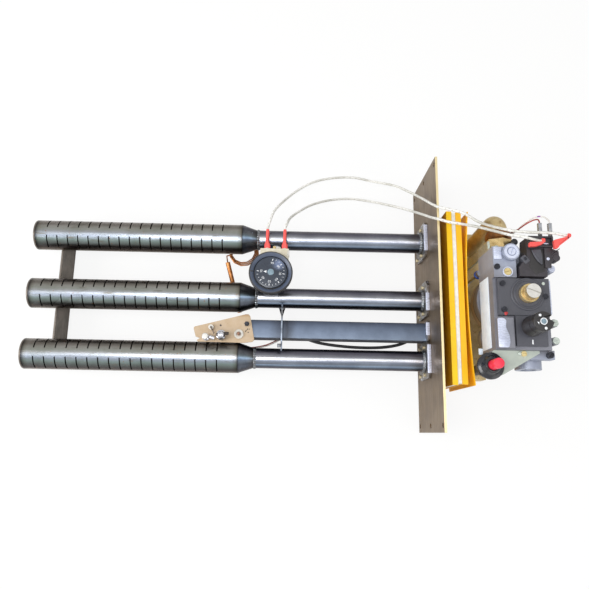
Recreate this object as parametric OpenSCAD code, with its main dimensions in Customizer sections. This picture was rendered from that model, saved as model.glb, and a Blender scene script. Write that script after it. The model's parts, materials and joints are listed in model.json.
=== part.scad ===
// Atmospheric gas burner for a floor-standing boiler. Three slotted burner tubes and a pilot
// stand on a steel front plate. Behind the plate are a heat shield, the gas manifold with its
// injectors and the combined gas valve. X runs along the tubes towards the valve, Y across the
// tubes and Z up. The origin is the middle of the plate's boiler side.

/* [Front plate] */
// Length of the plate, across the tubes
plate_len = 366; // [350:1:420]
// Height of the plate
plate_h = 142; // [130:1:180]
// Thickness of the plate
plate_t = 3; // [2:0.5:5]
// Diameter of the fixing holes
fixing_d = 6.5; // [5:0.5:9]
// Distance from the fixing holes to the plate's short edges
fixing_inset_y = 9; // [7:0.5:14]
// Distance from the corner holes to the plate's long edges
fixing_inset_z = 7; // [6:0.5:14]

/* [Burner tubes] */
// Distance between neighbouring tube axes
tube_pitch = 86; // [84:1:96]
// How far the tube axes lie below the middle of the plate
tube_drop = 15; // [12:1:18]
// Outer diameter of the slotted heads
head_d = 42.4; // [38:0.2:46]
// Wall of the slotted heads
head_wall = 2; // [1.5:0.25:3]
// Length of the slotted heads
head_len = 293; // [275:1:360]
// Outer diameter of the mixer tubes
mixer_d = 28; // [24:0.5:32]
// Wall of the mixer tubes
mixer_wall = 2; // [1.5:0.25:3]
// Length of the mixer tubes from the plate to the cones
mixer_len = 241.5; // [235:0.5:300]
// Length of the cones between head and mixer tube
cone_len = 21; // [14:1:30]
// Thickness of the end caps
cap_t = 2.5; // [1.5:0.5:5]
// Length of the mixer tubes in front of the plate
mixer_inlet_len = 3; // [2:0.5:6]

/* [Flame slots] */
// Width of a slot
slot_w = 1.6; // [1:0.1:2.4]
// Distance from slot to slot
slot_pitch = 14.6; // [12:0.1:16]
// Number of slots in a row
slot_count = 18; // [10:1:18]
// Angle from the top of the head to the middle of a slot
slot_angle = 44; // [36:1:55]
// Angle that a slot covers
slot_span = 56; // [30:1:60]
// Distance from the last slot to the cone
slot_margin = 28; // [10:1:34]

/* [Tube flanges] */
// Width of a tube flange
flange_w = 50; // [44:1:51]
// Height of a tube flange
flange_h = 60; // [54:1:70]
// Thickness of the flanges
flange_t = 3; // [2:0.5:5]
// Corner chamfer of the flanges
flange_chamfer = 8; // [2:1:9]
// Width of the weld beads
weld_w = 4; // [2:0.5:5]
// Diameter of the flange screws' heads
flange_screw_d = 5; // [4:0.5:6]

/* [Supports] */
// Thickness of the rear foot
foot_t = 2.5; // [2:0.5:5]
// Distance from the closed end of the heads to the rear foot
foot_inset = 31; // [15:1:60]
// Depth of the foot's top edge below the tube axes
foot_top_drop = 5; // [2:1:12]
// Thickness of the tube brace
brace_t = 2; // [1.5:0.5:4]
// Distance from the plate to the tube brace
brace_dist = 204; // [150:1:220]

/* [Pilot] */
// Width of the square pilot carrier
carrier_w = 25; // [20:1:27]
// Wall of the pilot carrier
carrier_wall = 2; // [1.5:0.5:3]
// Length of the pilot carrier
carrier_len = 268; // [262:1:275]
// Thickness of the pilot bracket
bracket_t = 2; // [1.5:0.5:3]
// Diameter of the thermopile
thermopile_d = 8; // [6:0.5:9]
// Diameter of the pilot burner's barrel
pilot_d = 13; // [11:0.5:14]

/* [Heat shield] */
// Distance from the plate to the front leaf
shield_gap = 11.5; // [9:0.5:14]
// Thickness of the sheet leaves
leaf_t = 1.2; // [0.8:0.1:1.6]
// Thickness of the insulating board
board_t = 5; // [4:0.5:6]
// Width of the folded top lips
lip_w = 7.5; // [6:0.5:8.5]
// Length of the shield, across the tubes
shield_len = 232; // [225:1:260]
// Height of the shield's top edge above the middle of the plate
shield_top = 62; // [50:1:64]
// Depth of the shield's lower edge below the middle of the plate
shield_drop = 60; // [50:1:64]
// Bow of the outer leaf
leaf_bow = 5; // [1:0.5:6]

/* [Manifold] */
// Width of the square manifold
manifold_w = 25; // [24:1:30]
// Wall of the manifold
manifold_wall = 2; // [1.5:0.5:3]
// Distance from the plate's front to the manifold
manifold_stand = 50.5; // [48:0.5:56]
// Diameter of the studs that carry the manifold
stud_d = 8; // [6:1:10]
// Length of an injector in front of the manifold
injector_len = 29; // [22:1:34]
// Diameter of the gas jet's bore
injector_bore = 1.3; // [0.8:0.05:2.5]
// Outer diameter of the gas pipe
pipe_d = 24; // [21:0.5:26]
// Wall of the gas pipe
pipe_wall = 2.3; // [2:0.1:3]

/* [Gas valve] */
// Width of the valve casting
valve_w = 68; // [66:1:76]
// Length of the valve casting
valve_len = 127; // [126:1:136]
// Diameter of the diaphragm housing
diaphragm_d = 84; // [76:1:90]
// Radius of the bore that the inlet thread is cut into
inlet_bore_r = 9.3; // [8:0.1:10]
// Length of the inlet thread
inlet_thread_len = 14; // [10:1:18]
// Diameter of the gas knob
knob_d = 25; // [22:0.5:27]
// Height of the gas knob
knob_h = 35; // [30:1:40]
// Travel of the gas knob when it is pressed
knob_travel = 5; // [3:0.5:5]
// Outer diameter of the brass regulator sleeve
sleeve_d = 22.7; // [21:0.1:24]
// Diameter of the regulator screw
regulator_d = 17.5; // [14:0.5:18]
// Travel of the regulator's spring seat
regulator_travel = 3; // [1:0.5:4]
// Lift of the main valve
valve_lift = 3; // [2:0.5:4]

/* [Piezo igniter] */
// Diameter of the igniter's collar
piezo_collar_d = 33; // [28:1:34]
// Diameter of the igniter's button
piezo_button_d = 12.5; // [10:0.5:14]
// Travel of the igniter's button
piezo_travel = 6; // [4:0.5:8]
// Thickness of the igniter's bracket
piezo_bracket_t = 2; // [1.5:0.5:3]

/* [Thermostat] */
// Outer diameter of the dial's bezel
bezel_d = 60; // [54:1:62]
// Diameter of the dial
dial_d = 44; // [38:1:46]
// Width of the thermostat's case
thermostat_w = 37; // [34:1:38]
// Diameter of the temperature bulb
bulb_d = 6.5; // [5:0.5:7]
// Length of the temperature bulb
bulb_len = 76; // [60:1:80]
// Diameter of the capillary tube
capillary_d = 2; // [1.6:0.1:2.4]

/* [Clearances] */
// Gap around pieces that are pushed through a hole
seat_gap = 0.1; // [0.05:0.05:0.2]
// Radial play of turning and sliding fits
running_gap = 0.06; // [0.03:0.01:0.1]
// Gap between pieces that rest near each other
rest_gap = 0.3; // [0.2:0.05:0.5]

/* [Hidden] */

$fn = 48;
floor_z = -plate_h / 2;
tube_z = -tube_drop;
tube_ys = [tube_pitch, 0, -tube_pitch];
head_r = head_d / 2;
mixer_r = mixer_d / 2;
cone_x = -mixer_len - cone_len;
head_x = cone_x - head_len;
through = 1;
fixing_y = plate_len / 2 - fixing_inset_y;
fixing_z = plate_h / 2 - fixing_inset_z;

// The carrier lies between the middle tube and the near tube, a little nearer to the latter.
carrier_y = -tube_pitch / 2 - 3.5;
carrier_top = tube_z + carrier_w / 2;
carrier_flange_w = 28;
carrier_flange_rise = 26;
carrier_flange_drop = 18;
bracket_top = carrier_top + bracket_t;
// Corners of the pilot bracket, in plan
bracket_outline = [
    [-324.5, -49], [-324.3, -46.4], [-322.5, -45.4], [-253.5, -27], [-249.5, -26.9], [-247, -29.5],
    [-240.8, -61], [-241, -63.6], [-243.4, -65.5], [-254, -67], [-318, -66.5], [-319.5, -64.5],
    [-315.3, -61.5], [-321.3, -59.7]
];
bracket_bolt = [-251.4, -40.7];
bracket_spare_hole = [-287.4, -43.3];
ring_r = 4;
insulator_r = 3;
flange_screw_zs = [3, -24];
pilot_pos = [-285, -58.5];
ring_pos = [-262, -55.2];
spark_pos = [-300.2, -46.8];
spark_d = 2;
thermopile_pos = [-306.3, -61.3];
thermopile_base = carrier_top - 11.5;
gas_tube_d = 4;
gas_tube_y = carrier_y - 3.5;
gas_tube_z = tube_z + 6;

// The leads pass the plate and the shield below the pilot carrier.
lead_hole_d = 8;
lead_hole_z = -38;
ignition_hole_y = carrier_y + 0.5;
thermopile_hole_y = carrier_y + 10.5;
lead_d = 3.6;
ignition_lead_d = 4.4;

shield_x = plate_t + shield_gap;
board_x = shield_x + lip_w;
outer_leaf_x = board_x + board_t + 11;
shield_y = -8;
jet_hole_d = 24;
stud_ys = [tube_pitch / 2, -tube_pitch / 2];

manifold_x = plate_t + manifold_stand;
manifold_mid = manifold_x + manifold_w / 2;
manifold_top = tube_z + manifold_w / 2;
manifold_y0 = -tube_pitch - 25;
manifold_y1 = tube_pitch + 12;
injector_r = 5;

// The valve stands beside and above the manifold.
valve_x = manifold_mid - 10;
valve_y1 = 43;
valve_y0 = valve_y1 - valve_len;
valve_z = 58;
deck_z = 95;
cover_z = 108;
valve_top = 115;
cover_y1 = 3;
diaphragm_pos = [valve_x + 38, -14];
diaphragm_r = diaphragm_d / 2;
diaphragm_z = 41;
diaphragm_t = 1;
cover_bottom = 29;
chamber_r = 34;
chamber_top = 54;
seat_z = 62;
port_r = 8;
upper_r = 13;
main_disc_t = 3;
upper_top = seat_z + main_disc_t + valve_lift + 16;
outlet_x = valve_x + 24;
outlet_z = 70;
outlet_boss_r = 13;
outlet_boss_len = 9;
outlet_bore_r = 9.3;
inlet_x = valve_x + 54;
inlet_z = 66;
inlet_len = 20;
nut_across = 32;
nut_len = 19;
nut_shoulder = 10;
elbow_y = 94;
pipe_bend_r = pipe_d / 2 + 1;
bend_lap = 0.5;
bend_swell = 0.05;
pipe_base = [manifold_mid, 76];
knob_pos = [valve_x + 40, -57.5];
knob_z = valve_top + knob_travel;
spindle_r = 3;
knob_boss_r = 9;
knob_boss_z = knob_z - 1;
safety_r = 9;
magnet_z = valve_z + 2;
magnet_h = 5;
safety_z = magnet_z + magnet_h + 1 + knob_travel;
spindle_z = safety_z + 7;
spindle_len = 70;
regulator_pos = [valve_x + 39.5, -17];
sleeve_z = 96;
sleeve_top = 124;
regulator_z = sleeve_z + 18 + regulator_travel;
regulator_top = 135;
seat_t = 2;
pilot_screw_pos = [valve_x + 17, 11];
test_boss_pos = [valve_x + 21, 35];
test_boss_h = 6;
side_screws = [[valve_x + 75, -50], [valve_x + 75, -72], [valve_x + 76, 18.5]];
side_screw_z = 103;
cover_screws = [[valve_x + 9.5, -4], [valve_x + 10, -36.5], [valve_x + 61, -19.5]];
lug_top = 98;
operator_x = valve_x + 30;
operator_h = 25;
operator_y1 = 55;
frame_x = [operator_x + 12, operator_x + 42.5];
frame_z = deck_z + operator_h + 4;
spade_xs = [valve_x + 57.5, valve_x + 70];
spade_z = frame_z - 2;
crimp_y = [operator_y1 + 6, operator_y1 + 17];

piezo_pos = [valve_x - 6, -103.5];
piezo_collar_z = lug_top + piezo_bracket_t;
piezo_collar_h = 5;
piezo_boss_r = 11.5;
piezo_boss_h = 9;
piezo_body_r = 10;
piezo_boot_r = 6.3;
piezo_bottom = 34;
piezo_shoulder_z = 66;
piezo_button_z = piezo_collar_z;
piezo_button_top = 134;
piezo_chamber_z = piezo_button_z - piezo_travel - 3;

// The thermostat lies on the middle tube and the far tube.
thermostat_back = 22;
thermostat_pos = [thermostat_back - mixer_len, 25];
thermostat_z = tube_z + mixer_r + rest_gap;
thermostat_top = 28;
thermostat_y0 = 10;
thermostat_foot_y = 2;
thermostat_foot_w = 20;
thermostat_y1 = 47;
terminal_y1 = 63;
tab_z = 7;
tab_xs = [thermostat_pos[0] - 6.5, thermostat_pos[0] + 6, thermostat_pos[0] + 18];
boot_x1 = tab_xs[0];
boot_x2 = tab_xs[2];
boot_y0 = 64.5;
boot_y1 = 95;
dial_z = 30;
dial_h = 6;
bezel_h = 6;
shaft_r = 3;

// Curves through points, and round tubes swept along them
function unit(v) = v / norm(v);
function curve_point(a, b, c, d, t) =
    0.5 * (2 * b + (c - a) * t + (2 * a - 5 * b + 4 * c - d) * t ^ 2 + (3 * b - a - 3 * c + d) * t ^ 3);
function curve(points, steps) = [
    for (i = [0 : len(points) - 2], k = [0 : steps - 1])
        let (before = points[max(i - 1, 0)], after = points[min(i + 2, len(points) - 1)])
            curve_point(before, points[i], points[i + 1], after, k / steps),
    points[len(points) - 1]
];
function heading(path, i) = unit(path[min(i + 1, len(path) - 1)] - path[max(i - 1, 0)]);
function across(side, ahead) = unit(side - (side * ahead) * ahead);
function first_side(ahead) = abs(ahead[2]) < 0.8 ? cross(ahead, [0, 0, 1]) : cross(ahead, [1, 0, 0]);
function sides_along(path) = [
    for (i = 0, side = across(first_side(heading(path, 0)), heading(path, 0));
        i < len(path);
        i = i + 1, side = i < len(path) ? across(side, heading(path, i)) : side)
        side
];

module tube(path, d, sides = 8) {
    side = sides_along(path);
    rings = len(path);
    points = [
        for (i = [0 : rings - 1])
            let (ahead = heading(path, i), up = cross(ahead, side[i]))
                for (k = [0 : sides - 1])
                    path[i] + d / 2 * (cos(360 * k / sides) * side[i] + sin(360 * k / sides) * up)
    ];
    walls = [
        for (i = [0 : rings - 2])
            for (k = [0 : sides - 1])
                let (a = i * sides + k, b = i * sides + (k + 1) % sides)
                    each [[a, a + sides, b], [b, a + sides, b + sides]]
    ];
    first_face = [for (k = [0 : sides - 1]) k];
    last_face = [for (k = [sides - 1 : -1 : 0]) (rings - 1) * sides + k];
    polyhedron(points, concat([first_face], walls, [last_face]), convexity = 10);
}

// Pieces that lie along X, and outlines that are drawn in the plane across X
module along_x(x, y = 0, z = 0) {
    translate([x, y, z]) rotate([0, 90, 0]) children();
}

module sheet_at_x(x, t) {
    translate([x, 0, 0]) rotate([90, 0, 90]) linear_extrude(t) children();
}

module block(x, y, z) {
    translate([x[0], y[0], z[0]]) cube([x[1] - x[0], y[1] - y[0], z[1] - z[0]]);
}

module ring(outer_r, inner_r, h) {
    difference() {
        cylinder(r = outer_r, h = h);
        translate([0, 0, -through]) cylinder(r = inner_r, h = h + 2 * through);
    }
}

module screw_slot(r, z, w = 1.2, depth = 1.2, angle = 0) {
    rotate([0, 0, angle]) translate([-r - through, -w / 2, z - depth])
        cube([2 * (r + through), w, depth + through]);
}

// Helix of wire with closed ends, as one swept tube
module spring(r, wire_d, z0, z1, turns) {
    steps = 12 * turns;
    path = [for (i = [0 : steps]) [r * cos(30 * i), r * sin(30 * i), z0 + (z1 - z0) * i / steps]];
    tube(path, wire_d, 6);
}

// Front plate and burner tubes
module lead_holes(x, t) {
    for (y = [ignition_hole_y, thermopile_hole_y])
        along_x(x - through, y, lead_hole_z) cylinder(d = lead_hole_d, h = t + 2 * through);
    along_x(x - through, gas_tube_y, gas_tube_z) cylinder(d = gas_tube_d + 2, h = t + 2 * through);
}

module front_plate() color("#6b6353") difference() {
    block([0, plate_t], [-plate_len / 2, plate_len / 2], [-plate_h / 2, plate_h / 2]);
    for (y = tube_ys)
        along_x(-through, y, tube_z) cylinder(r = mixer_r + seat_gap, h = plate_t + 2 * through);
    for (y = [-fixing_y, fixing_y], z = [-fixing_z, 0, fixing_z])
        along_x(-through, y, z) cylinder(d = fixing_d, h = plate_t + 2 * through);
    lead_holes(0, plate_t);
}

module slots() {
    half_w = head_r * sin(slot_span / 2);
    for (i = [0 : slot_count - 1], side = [-1, 1])
        translate([cone_x - slot_margin - i * slot_pitch, 0, 0])
            rotate([side * slot_angle, 0, 0])
                translate([-slot_w / 2, -half_w, head_r * cos(slot_span / 2) - 2 * head_wall])
                    cube([slot_w, 2 * half_w, head_r]);
}

module burner_head(row) color("#8d938b") translate([0, tube_ys[row], tube_z]) difference() {
    along_x(head_x) ring(head_r, head_r - head_wall, head_len);
    slots();
}

module end_caps() color("#7a7f79") for (y = tube_ys)
    along_x(head_x - cap_t, y, tube_z) cylinder(r = head_r, h = cap_t);

module reducer_cones() color("#4c5459") for (y = tube_ys)
    along_x(cone_x, y, tube_z) rotate_extrude()
        polygon([
            [head_r - head_wall, 0], [head_r, 0], [mixer_r, cone_len], [mixer_r - mixer_wall, cone_len]
        ]);

module mixer_tubes() color("#5d6063") for (y = tube_ys)
    along_x(-mixer_len, y, tube_z)
        ring(mixer_r, mixer_r - mixer_wall, mixer_len + plate_t + mixer_inlet_len);

// Flat flange behind the plate, with chamfered corners and the given centre line
module flange_plate(y, w, z0, z1, c) {
    y0 = y - w / 2;
    y1 = y + w / 2;
    sheet_at_x(-flange_t, flange_t)
        polygon([
            [y0 + c, z0], [y1 - c, z0], [y1, z0 + c], [y1, z1 - c], [y1 - c, z1], [y0 + c, z1],
            [y0, z1 - c], [y0, z0 + c]
        ]);
}

module tube_flanges() color("#5f5a52") {
    for (y = tube_ys) difference() {
        flange_plate(y, flange_w, tube_z - flange_h / 2, tube_z + flange_h / 2, flange_chamfer);
        along_x(-flange_t - through, y, tube_z)
            cylinder(r = mixer_r + seat_gap, h = flange_t + 2 * through);
    }
    difference() {
        flange_plate(
            carrier_y, carrier_flange_w, tube_z - carrier_flange_drop, tube_z + carrier_flange_rise, 2
        );
        carrier_block(carrier_w + 2 * seat_gap, -flange_t - through, through);
    }
}

module weld_ring(r) {
    rotate_extrude()
        polygon([[r, 0], [r + weld_w / 2, 0], [r + weld_w / 2.5, weld_w / 2], [r, weld_w]]);
}

module weld_beads() color("#55606a") for (y = tube_ys) {
    along_x(-mixer_len, y, tube_z) weld_ring(mixer_r);
    along_x(-flange_t, y, tube_z) mirror([0, 0, 1]) weld_ring(mixer_r);
}

module rear_foot() color("#5a534b")
    sheet_at_x(head_x + foot_inset, foot_t) difference() {
        translate([-tube_pitch - 6, floor_z])
            square([2 * tube_pitch + 12, tube_z - foot_top_drop - floor_z]);
        for (y = tube_ys) translate([y, tube_z]) circle(r = head_r + seat_gap);
    }

module tube_brace() color("#3f4246") {
    reach_z = carrier_w / 2 + 7;
    end_z = mixer_r * 0.6;
    sheet_at_x(-brace_dist, brace_t) difference() {
        polygon([
            [-mixer_r * 0.5, tube_z + end_z], [carrier_y + 18, tube_z + reach_z],
            [carrier_y - 18, tube_z + reach_z], [-tube_pitch + mixer_r * 0.5, tube_z + end_z],
            [-tube_pitch + mixer_r * 0.5, tube_z - end_z], [carrier_y - 18, tube_z - reach_z],
            [carrier_y + 18, tube_z - reach_z], [-mixer_r * 0.5, tube_z - end_z]
        ]);
        for (y = [0, -tube_pitch]) translate([y, tube_z]) circle(r = mixer_r + seat_gap);
        translate([carrier_y, tube_z]) square(carrier_w + 2 * seat_gap, center = true);
    }
}

// Pilot burner and what lights and senses it
module carrier_block(w, x0, x1) {
    block([x0, x1], [carrier_y - w / 2, carrier_y + w / 2], [tube_z - w / 2, tube_z + w / 2]);
}

module pilot_carrier() color("#56626e") difference() {
    carrier_block(carrier_w, -carrier_len, 0);
    carrier_block(carrier_w - 2 * carrier_wall, -carrier_len - through, through);
}

module bracket_hole(place, r) {
    translate([place[0], place[1], carrier_top - through])
        cylinder(r = r + seat_gap, h = bracket_t + 2 * through);
}

module pilot_bracket() color("#cdb795") difference() {
    translate([0, 0, carrier_top]) linear_extrude(bracket_t) polygon(bracket_outline);
    bracket_hole(pilot_pos, pilot_d / 2 - 2);
    bracket_hole(ring_pos, ring_r);
    bracket_hole(spark_pos, insulator_r);
    bracket_hole(thermopile_pos, thermopile_d / 2 - 1);
    bracket_hole(bracket_spare_hole, 1.2);
}

module pilot_burner() color("silver") {
    base_r = pilot_d / 2 - 2;
    hood_z = bracket_top + 7;
    translate([pilot_pos[0], pilot_pos[1], 0]) {
        translate([0, 0, carrier_top - 12]) cylinder(r = base_r, h = 12 + bracket_t);
        translate([0, 0, bracket_top]) difference() {
            cylinder(d = pilot_d, h = 7);
            translate([0, 0, 2]) cylinder(d = pilot_d - 3, h = 7);
        }
        translate([0, 0, hood_z]) difference() {
            cylinder(d = pilot_d, h = 7);
            translate([0, 0, -through]) cylinder(d = pilot_d - 3, h = 6.5);
            translate([-pilot_d, -pilot_d * 0.3, -through]) cube([pilot_d, pilot_d * 0.6, 5]);
        }
    }
}

gas_tube_route = [
    [58.5, 24, 43], [57, 23, 30], [53, 18, 16], [50, 4, 9], [49, -20, 6], [49, -36, 3],
    [47.5, -46, -3], [44, -49.6, -8], [40.5, -50, -9], [30, -50, -9], [0, -50, -9],
    [-40, -50, -9], [-90, -50, -9], [-140, -50, -9], [-190, -50, -9], [-240, -50, -9],
    [-262, -50, -9.5], [-272, -53, -10.5], [-280.5, -57, -11]
];

module pilot_gas_tube() color("#c9ccd0") {
    tube(curve(gas_tube_route, 2), gas_tube_d, 10);
    translate(gas_tube_route[0]) cylinder(d = 9, h = valve_z - gas_tube_route[0][2]);
}

module thermopile() color("#d9dcdf") translate([thermopile_pos[0], thermopile_pos[1], 0]) {
    translate([0, 0, thermopile_base])
        cylinder(r = thermopile_d / 2 - 1, h = bracket_top - thermopile_base);
    translate([0, 0, bracket_top]) cylinder(d = thermopile_d, h = 17);
}

// The thermopile's two wires run side by side to the valve's spade terminals.
wire_d = 1.8;
wire_gap = [1.4, -1.4, 2];
wire_route = [
    [-306, -57, -24], [-298, -54, -33], [-280, -60, -40], [-255, -68, -43], [-225, -64, -44],
    [-190, -48, -43], [-140, -40, -40], [-80, -36, -38], [-20, -36, -38], [3, -36, -38],
    [30, -36, -38], [46, -36, -39], [70, -30, -41], [86, 0, -41], [92, 40, -36], [96, 64, -18],
    [99, 74, 14], [98, 77, 56], [96, 72, 92]
];
function shifted(points, by) = [for (point = points) point + by];
wire_route_1 = concat(
    [[thermopile_pos[0] - 1, thermopile_pos[1] + 1, thermopile_base], [-307.4, -57.4, -19]],
    shifted(wire_route, -wire_gap / 2),
    [[93, 69, 106], [97.4, 71.4, 118], [104.7, 74.8, 124], [110.5, 75.8, 124.8], [113.4, 74.4, 122.3]],
    [[spade_xs[0], crimp_y[1], spade_z]]
);
wire_route_2 = concat(
    [[thermopile_pos[0] + 1, thermopile_pos[1] - 1, thermopile_base], [-305.6, -59, -18]],
    shifted(wire_route, wire_gap / 2),
    [[95, 71, 107.5], [99, 74.5, 118], [105, 78, 122.5], [111, 79.5, 125.5], [117, 78.7, 127]],
    [[122.5, 76.8, 125], [125.9, 74.4, 122.3], [spade_xs[1], crimp_y[1], spade_z]]
);

module thermopile_lead() color("#a33c33") {
    tube(curve(wire_route_1, 2), wire_d, 8);
    tube(curve(wire_route_2, 2), wire_d, 8);
}

// Ceramic sleeve of the spark wire, and the ceramic seat of the plugged second opening
module electrode_insulator() color("#e9e7e0") {
    translate([spark_pos[0], spark_pos[1], 0]) difference() {
        union() {
            translate([0, 0, carrier_top - 18]) cylinder(r = insulator_r, h = 18 + bracket_t);
            translate([0, 0, bracket_top]) cylinder(r = insulator_r + 0.6, h = 6);
        }
        translate([0, 0, carrier_top - 8]) cylinder(r = spark_d / 2 + seat_gap, h = 30);
    }
    translate([ring_pos[0], ring_pos[1], carrier_top]) difference() {
        union() {
            cylinder(r = ring_r, h = bracket_t);
            translate([0, 0, bracket_t]) cylinder(r = ring_r + 2.5, h = 2.5);
        }
        translate([0, 0, 1]) cylinder(r = 1.7, h = 10);
    }
}

spark_route = shifted(
    [[0, 0, -10], [0, 0, -2], [0, 0, 5.5], [0.9, -1.5, 8.8], [3, -5.5, 10.6], [5.3, -10, 11.3]],
    [spark_pos[0], spark_pos[1], 0]
);

module spark_electrode() color("#8a8178") {
    tube(curve(spark_route, 3), spark_d, 8);
    translate([ring_pos[0], ring_pos[1], carrier_top + 1]) cylinder(r = 1.6, h = 9);
}

ignition_route = [
    [50, -103.5, 34], [50, -103.5, 18], [49.6, -103, 0], [49, -102, -18], [49, -97, -33],
    [49, -82, -38], [48.5, -64, -38], [46.5, -51, -38], [41, -46, -38], [30, -46, -38],
    [16, -46, -38], [3, -46, -38], [-12, -50, -37], [-34, -60, -36], [-64, -65, -35],
    [-105, -65, -35], [-148, -60, -36], [-182, -50, -38], [-230, -45, -38], [-270, -44, -35],
    [-290, -45.3, -32.5], [-297.4, -46.3, -29.6], [-300.1, -46.8, -25.5], [-300.2, -46.8, -20.5]
];

module ignition_lead() color("#1d1d1f") tube(curve(ignition_route, 2), ignition_lead_d, 8);

// Heat shield between the plate and the manifold
module shield_holes(x, t) {
    for (y = tube_ys)
        along_x(x - through, y, tube_z) cylinder(d = jet_hole_d, h = t + 2 * through);
    for (y = stud_ys)
        along_x(x - through, y, tube_z) cylinder(d = stud_d + 2 * rest_gap, h = t + 2 * through);
    lead_holes(x, t);
}

module shield_front_leaf() color("#f2b200") difference() {
    union() {
        block([shield_x, shield_x + leaf_t], shield_span(), [-shield_drop, shield_top]);
        block([shield_x, board_x - rest_gap], shield_span(), [shield_top - leaf_t, shield_top]);
    }
    shield_holes(shield_x, leaf_t);
}

function shield_span(inset = 0) =
    [shield_y - shield_len / 2 + inset, shield_y + shield_len / 2 - inset];

module shield_board() color("#f4f3ef") difference() {
    block([board_x, board_x + board_t], shield_span(2), [-shield_drop + 2, shield_top - 1]);
    shield_holes(board_x, board_t);
}

function leaf_line(offset_x) = [
    for (k = [-8 : 8]) [outer_leaf_x + offset_x + leaf_bow * k * k / 64, shield_y + shield_len / 2 * k / 8]
];
function reversed(list) = [for (i = [len(list) - 1 : -1 : 0]) list[i]];

module shield_outer_leaf() color("#e59a00") {
    inner_x = board_x + board_t + rest_gap;
    difference() {
        translate([0, 0, -shield_drop]) linear_extrude(shield_drop + shield_top)
            polygon(concat(leaf_line(0), reversed(leaf_line(leaf_t))));
        shield_holes(outer_leaf_x - through, leaf_t + leaf_bow + 2 * through);
    }
    difference() {
        union() {
            block([inner_x, inner_x + leaf_t], shield_span(1), [-shield_drop, shield_top - 1]);
            block([inner_x, inner_x + lip_w], shield_span(1), [shield_top - 1 - leaf_t, shield_top - 1]);
        }
        shield_holes(inner_x, leaf_t);
    }
}

// Manifold, injectors and the pipe to the valve
module manifold() color("#c2ad7d") difference() {
    block(
        [manifold_x, manifold_x + manifold_w], [manifold_y0, manifold_y1],
        [tube_z - manifold_w / 2, tube_z + manifold_w / 2]
    );
    block(
        [manifold_x + manifold_wall, manifold_x + manifold_w - manifold_wall],
        [manifold_y0 + manifold_wall, manifold_y1 - manifold_wall],
        [tube_z - manifold_w / 2 + manifold_wall, tube_z + manifold_w / 2 - manifold_wall]
    );
    for (y = tube_ys)
        along_x(manifold_x - through, y, tube_z)
            cylinder(r = injector_r + seat_gap, h = manifold_wall + 2 * through);
    translate([pipe_base[0], pipe_base[1], manifold_top - manifold_wall - through])
        cylinder(r = pipe_d / 2 - pipe_wall - 1, h = manifold_wall + 2 * through);
}

module injectors() color("#c9a14e") for (y = tube_ys)
    along_x(manifold_x, y, tube_z) difference() {
        union() {
            cylinder(r = injector_r, h = manifold_wall + 3);
            translate([0, 0, -7]) cylinder(d = 16, h = 7, $fn = 6);
            translate([0, 0, -injector_len + 5]) cylinder(r = injector_r, h = injector_len - 12);
            translate([0, 0, -injector_len]) cylinder(r1 = injector_r - 2, r2 = injector_r, h = 5);
        }
        translate([0, 0, -injector_len - through]) cylinder(d = injector_bore, h = 6, $fn = 24);
        translate([0, 0, -injector_len + 4]) cylinder(r = 3, h = injector_len + manifold_wall + 3);
    }

module manifold_studs() color("#a9a79f") for (y = stud_ys) {
    along_x(plate_t, y, tube_z) cylinder(d = stud_d, h = manifold_stand);
    along_x(plate_t, y, tube_z) cylinder(d = stud_d + 4, h = 5, $fn = 6);
}

// The pipe leans up from the manifold, bends over and runs along -Y into the union nut. Its
// straight ends reach a little way into the bend, which is slightly wider.
module pipe_core(r, extend) {
    base = [pipe_base[0], pipe_base[1], manifold_top];
    knee = [outlet_x, elbow_y, outlet_z];
    ahead = unit(knee - base);
    outward = -across([0, -1, 0], ahead);
    bend_axis = cross(outward, ahead);
    turn = acos(-ahead[1]);
    reach = pipe_bend_r * tan(turn / 2);
    centre = knee - reach * ahead - pipe_bend_r * outward;
    translate(base) rotate([0, 0, atan2(ahead[1], ahead[0])]) rotate([0, acos(ahead[2]), 0])
        translate([0, 0, -10]) cylinder(r = r, h = norm(knee - base) - reach + 10 + bend_lap);
    multmatrix([for (k = [0 : 2]) [outward[k], ahead[k], bend_axis[k], centre[k]]])
        rotate_extrude(angle = turn) translate([pipe_bend_r, 0]) circle(r = r + bend_swell);
    translate(knee - [0, reach - bend_lap, 0]) rotate([90, 0, 0])
        cylinder(r = r, h = elbow_y - reach + bend_lap - valve_y1 - outlet_boss_len + extend);
}

module gas_pipe() color("#c3b07c") difference() {
    pipe_core(pipe_d / 2, 0);
    pipe_core(pipe_d / 2 - pipe_wall, through);
    block([manifold_x - 20, manifold_x + 60], [40, 110], [-60, manifold_top]);
}

module union_nut() color("#d2c08d")
    translate([outlet_x, valve_y1 + 2, outlet_z]) rotate([-90, 0, 0]) difference() {
        rotate([0, 0, 30]) cylinder(d = nut_across / cos(30), h = nut_len, $fn = 6);
        translate([0, 0, -through])
            cylinder(r = outlet_boss_r + seat_gap, h = outlet_boss_len - 2 + through);
        translate([0, 0, -through]) cylinder(d = pipe_d + 2 * seat_gap, h = nut_len + 2 * through);
    }

module valve_strap() color("#9a9a98") {
    strap_x = valve_x + 2;
    foot_y = valve_y1;
    block([strap_x, strap_x + 3], [foot_y, foot_y + 14], [manifold_top, 92]);
    block([strap_x, strap_x + 14], [foot_y, foot_y + 3], [92, 106]);
    translate([strap_x + 8, foot_y + 3, 99]) rotate([-90, 0, 0]) cylinder(d = 7, h = 2.5, $fn = 6);
}

// Gas valve
module at_valve(place, z) {
    translate([place[0], place[1], z]) children();
}

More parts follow.
